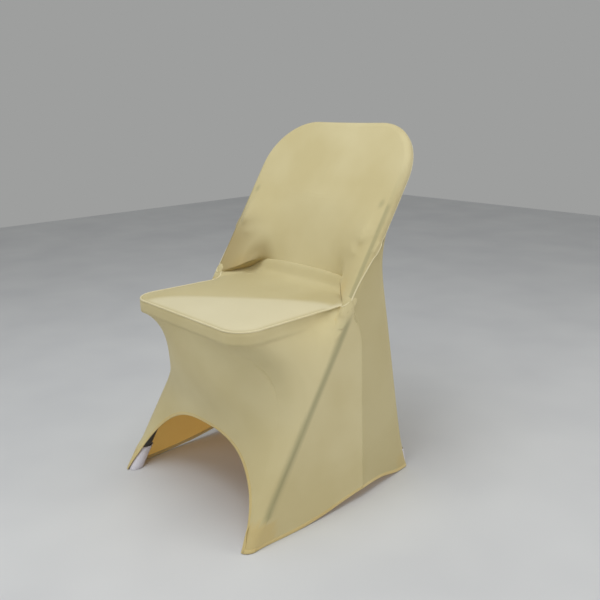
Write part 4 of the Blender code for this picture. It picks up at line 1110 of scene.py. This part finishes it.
def make_piping():
    """The corded seam round the seat's front and sides, with both its ends run into the gathers."""
    ends = [JUNCTION + Vector((0.003, 0.002, 0.001)), JUNCTION + Vector((0.008, 0.005, 0.003))]
    half = np.concatenate([seat_edge[:seat_rear_start], ends])
    path = mirrored(half[None])[0]
    outward = unit(np.cross(along_path(path), (0, 0, 1)))
    path = path + outward * 0.0012 + (0, 0, -0.0002)
    cord = follow_by(cord_seam("seat_piping_cord", path, outward, 0.0021, seam_look), seat_hold)
    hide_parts("seat_piping")
    return cord


hems = make_hems()
seams = make_seams()
piping = make_piping()
gathers = [make_gather("gather_right", 1), make_gather("gather_left", -1)]


# -------- foot pockets and the cushion
def make_pocket(node, body):
    """A lined pocket round a foot: a soft cup with a turned rim, creased where the cloth gathers."""
    low, high = (Vector(corner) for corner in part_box(node))
    height = high.z - low.z
    at_front = body == "frame"
    shift = math.tan(LEAN if at_front else LEG_LEAN) * height * (1 if at_front else -1)
    slide = 0.0 if at_front else (REAR_TOP_X - REAR_FOOT.x) / LEG_PIVOT.z * height
    radius = (high.x - low.x) / 2 - abs(slide) / 2
    centre_x = (low.x + high.x) / 2 - math.copysign(slide / 2, low.x)
    centre_y = (low.y + high.y) / 2 - shift / 2
    stretch = ((high.y - low.y) - abs(shift)) / 2 / radius
    angle = 2 * math.pi * np.arange(40) / 40
    # Heights, in metres at the sole and as shares of the whole above it, and the radius there as a share
    levels = [
        (0.0, 0.55), (0.0004, 0.93), (0.0020, 1.0),
        (0.25, 1.0), (0.5, 1.0), (0.75, 1.0), (0.93, 1.0), (1.0, 1.03),
    ]
    rings = []
    for layer, steps in ((0, levels), (1, levels[::-1])):
        for up, share in steps:
            z = up if up < 0.01 else up * height
            rise = z / height
            reach = radius * share - layer * 0.0009 + 0.0003 * np.sin(9 * angle + 5 * rise) * smooth(rise * 2)
            x = centre_x + math.copysign(slide, low.x) * rise + reach * np.cos(angle)
            y = centre_y + shift * rise + reach * stretch * np.sin(angle)
            rings.append(xyz(x, y, max(z, 0.0002) + layer * 0.0006 * (up < 0.01)))
    piece = ridden(loft(node.replace("foot_pocket", "lined_pocket"), rings, lining_look), body)
    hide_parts(node)
    return piece


def make_cushion():
    """The seat's foam under vinyl: rounded edges and a crowned top, just under the cloth."""
    corner = 0.022
    outline = [(min(x, seat_half_width(y)), y) for x, y, _ in seat_edge[:seat_rear_start] if y < 0.03]
    outline.append((seat_half_width(0.050), 0.050))
    rear_half = seat_half_width(SEAT_REAR_Y - corner) - corner
    for angle in math.pi / 2 * np.arange(9) / 8:
        y = SEAT_REAR_Y - corner + corner * math.sin(angle)
        outline.append((rear_half + corner * math.cos(angle), y))
    outline += [(rear_half * (1 - k / 6), SEAT_REAR_Y) for k in range(1, 7)]
    half = np.array(outline)
    away = np.concatenate([half, (half * (-1, 1))[-2:0:-1]]) - (0, SEAT_CENTRE_Y)
    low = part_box("seat_pad")[0][2]
    rings = []
    for inset, z in (
        (0.030, low), (0.0075, low), (0.0055, low + 0.002),
        (0.0048, 0.4150), (0.0052, 0.4205), (0.0070, 0.4245),
    ):
        x, y = (away - unit(away) * inset).T
        rings.append(xyz(x, y + SEAT_CENTRE_Y, z))
    for share in (0.945, 0.92, 0.88, 0.8, 0.7, 0.55, 0.4, 0.25, 0.1):
        x, y = (away * share).T
        # The top lies this far below the cloth, and its edge is rounder than the cloth's.
        top = pad_top(x * 1.025, y * 1.025 + SEAT_CENTRE_Y) - 0.0030
        rings.append(xyz(x, y + SEAT_CENTRE_Y, top))
    cushion = loft("seat_cushion", rings, vinyl())
    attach(cushion, "seat")
    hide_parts("seat_pad")


for place, body in (("front", "frame"), ("rear", "rear_legs")):
    for word in ("left", "right"):
        make_pocket(f"{place}_foot_pocket_{word}", body)
make_cushion()


# -------- finishes of the steelwork
rubber_look = moulded(
    "grey_rubber_look", (90.0, 4.0), (0.4, 0.65), rgb(62, 61, 60), rgb(88, 86, 84), 700.0, 0.25, 0.0005,
    Roughness=0.82, Specular_IOR_Level=0.3,
)
nylon_look = moulded(
    "nylon_look", (70.0, 3.0), (0.4, 0.6), rgb(232, 230, 222), rgb(214, 211, 200), 500.0, 0.10, 0.0003,
    Roughness=0.45,
)
for words, look in (
    (("main_frame", "back_plate", "front_brace", "rear_brace", "rear_leg_"), painted_steel()),
    (("seat_pivot", "leg_pivot", "side_plate", "slide_stud", "seat_screw"), zinc()),
    (("slide_roller", "leg_top_plug"), nylon_look),
    (("front_foot_cap", "rear_foot_cap"), rubber_look),
    (("seat_board",), plywood()),
):
    for name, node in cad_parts.items():
        if name.startswith(words):
            node.data.materials.clear()
            node.data.materials.append(look)


# -------- floor, light and camera
def make_stage():
    mesh = bpy.data.meshes.new("floor")
    mesh.from_pydata([(-4, -4, 0), (4, -4, 0), (4, 4, 0), (-4, 4, 0)], [], [(0, 1, 2, 3)])
    look = Look("pale_floor")
    colour = look.mix(look.ranged(look.noise(3.0, 2.0), 0.3, 0.7), rgb(218, 219, 220), rgb(210, 211, 213))
    look.set(Base_Color=colour, Roughness=0.8, Specular_IOR_Level=0.2)
    link("floor", mesh, look.material)
    world = bpy.data.worlds.new("studio")
    bpy.context.scene.world = world
    world.use_nodes = True
    sky = world.node_tree.nodes["Background"].inputs
    sky["Color"].default_value = rgb(196, 197, 196)
    sky["Strength"].default_value = 0.62
    for name, place, size, power, colour in (
        ("top", (0.2, -0.5, 2.4), 1.6, 25.0, (0.955, 0.98, 0.995)),
        ("front", (0.6, -2.4, 1.5), 1.8, 15.0, (1.0, 0.99, 0.97)),
        ("side", (2.3, 1.5, 0.8), 1.6, 20.0, (1.0, 0.965, 0.93)),
    ):
        light = bpy.data.lights.new(name, "AREA")
        light.size = size
        light.energy = power
        light.color = colour
        holder = bpy.data.objects.new(name, light)
        holder.location = place
        aim = Vector((0, -0.05, 0.4)) - Vector(place)
        holder.rotation_euler = aim.to_track_quat("-Z", "Y").to_euler()
        bpy.context.scene.collection.objects.link(holder)


def make_camera():
    camera = bpy.data.cameras.new("camera")
    camera.sensor_width = 36
    camera.lens = 42.59
    holder = bpy.data.objects.new("camera", camera)
    holder.location = (1.1959, -0.9655, 0.8427)
    aim = Euler((math.radians(90 - 15.759), 0, math.radians(48.574))).to_quaternion()
    holder.rotation_euler = (aim @ Quaternion((0, 0, 1), -0.0196)).to_euler()
    bpy.context.scene.collection.objects.link(holder)
    bpy.context.scene.camera = holder


make_stage()
make_camera()
bpy.context.scene.view_settings.view_transform = "Standard"
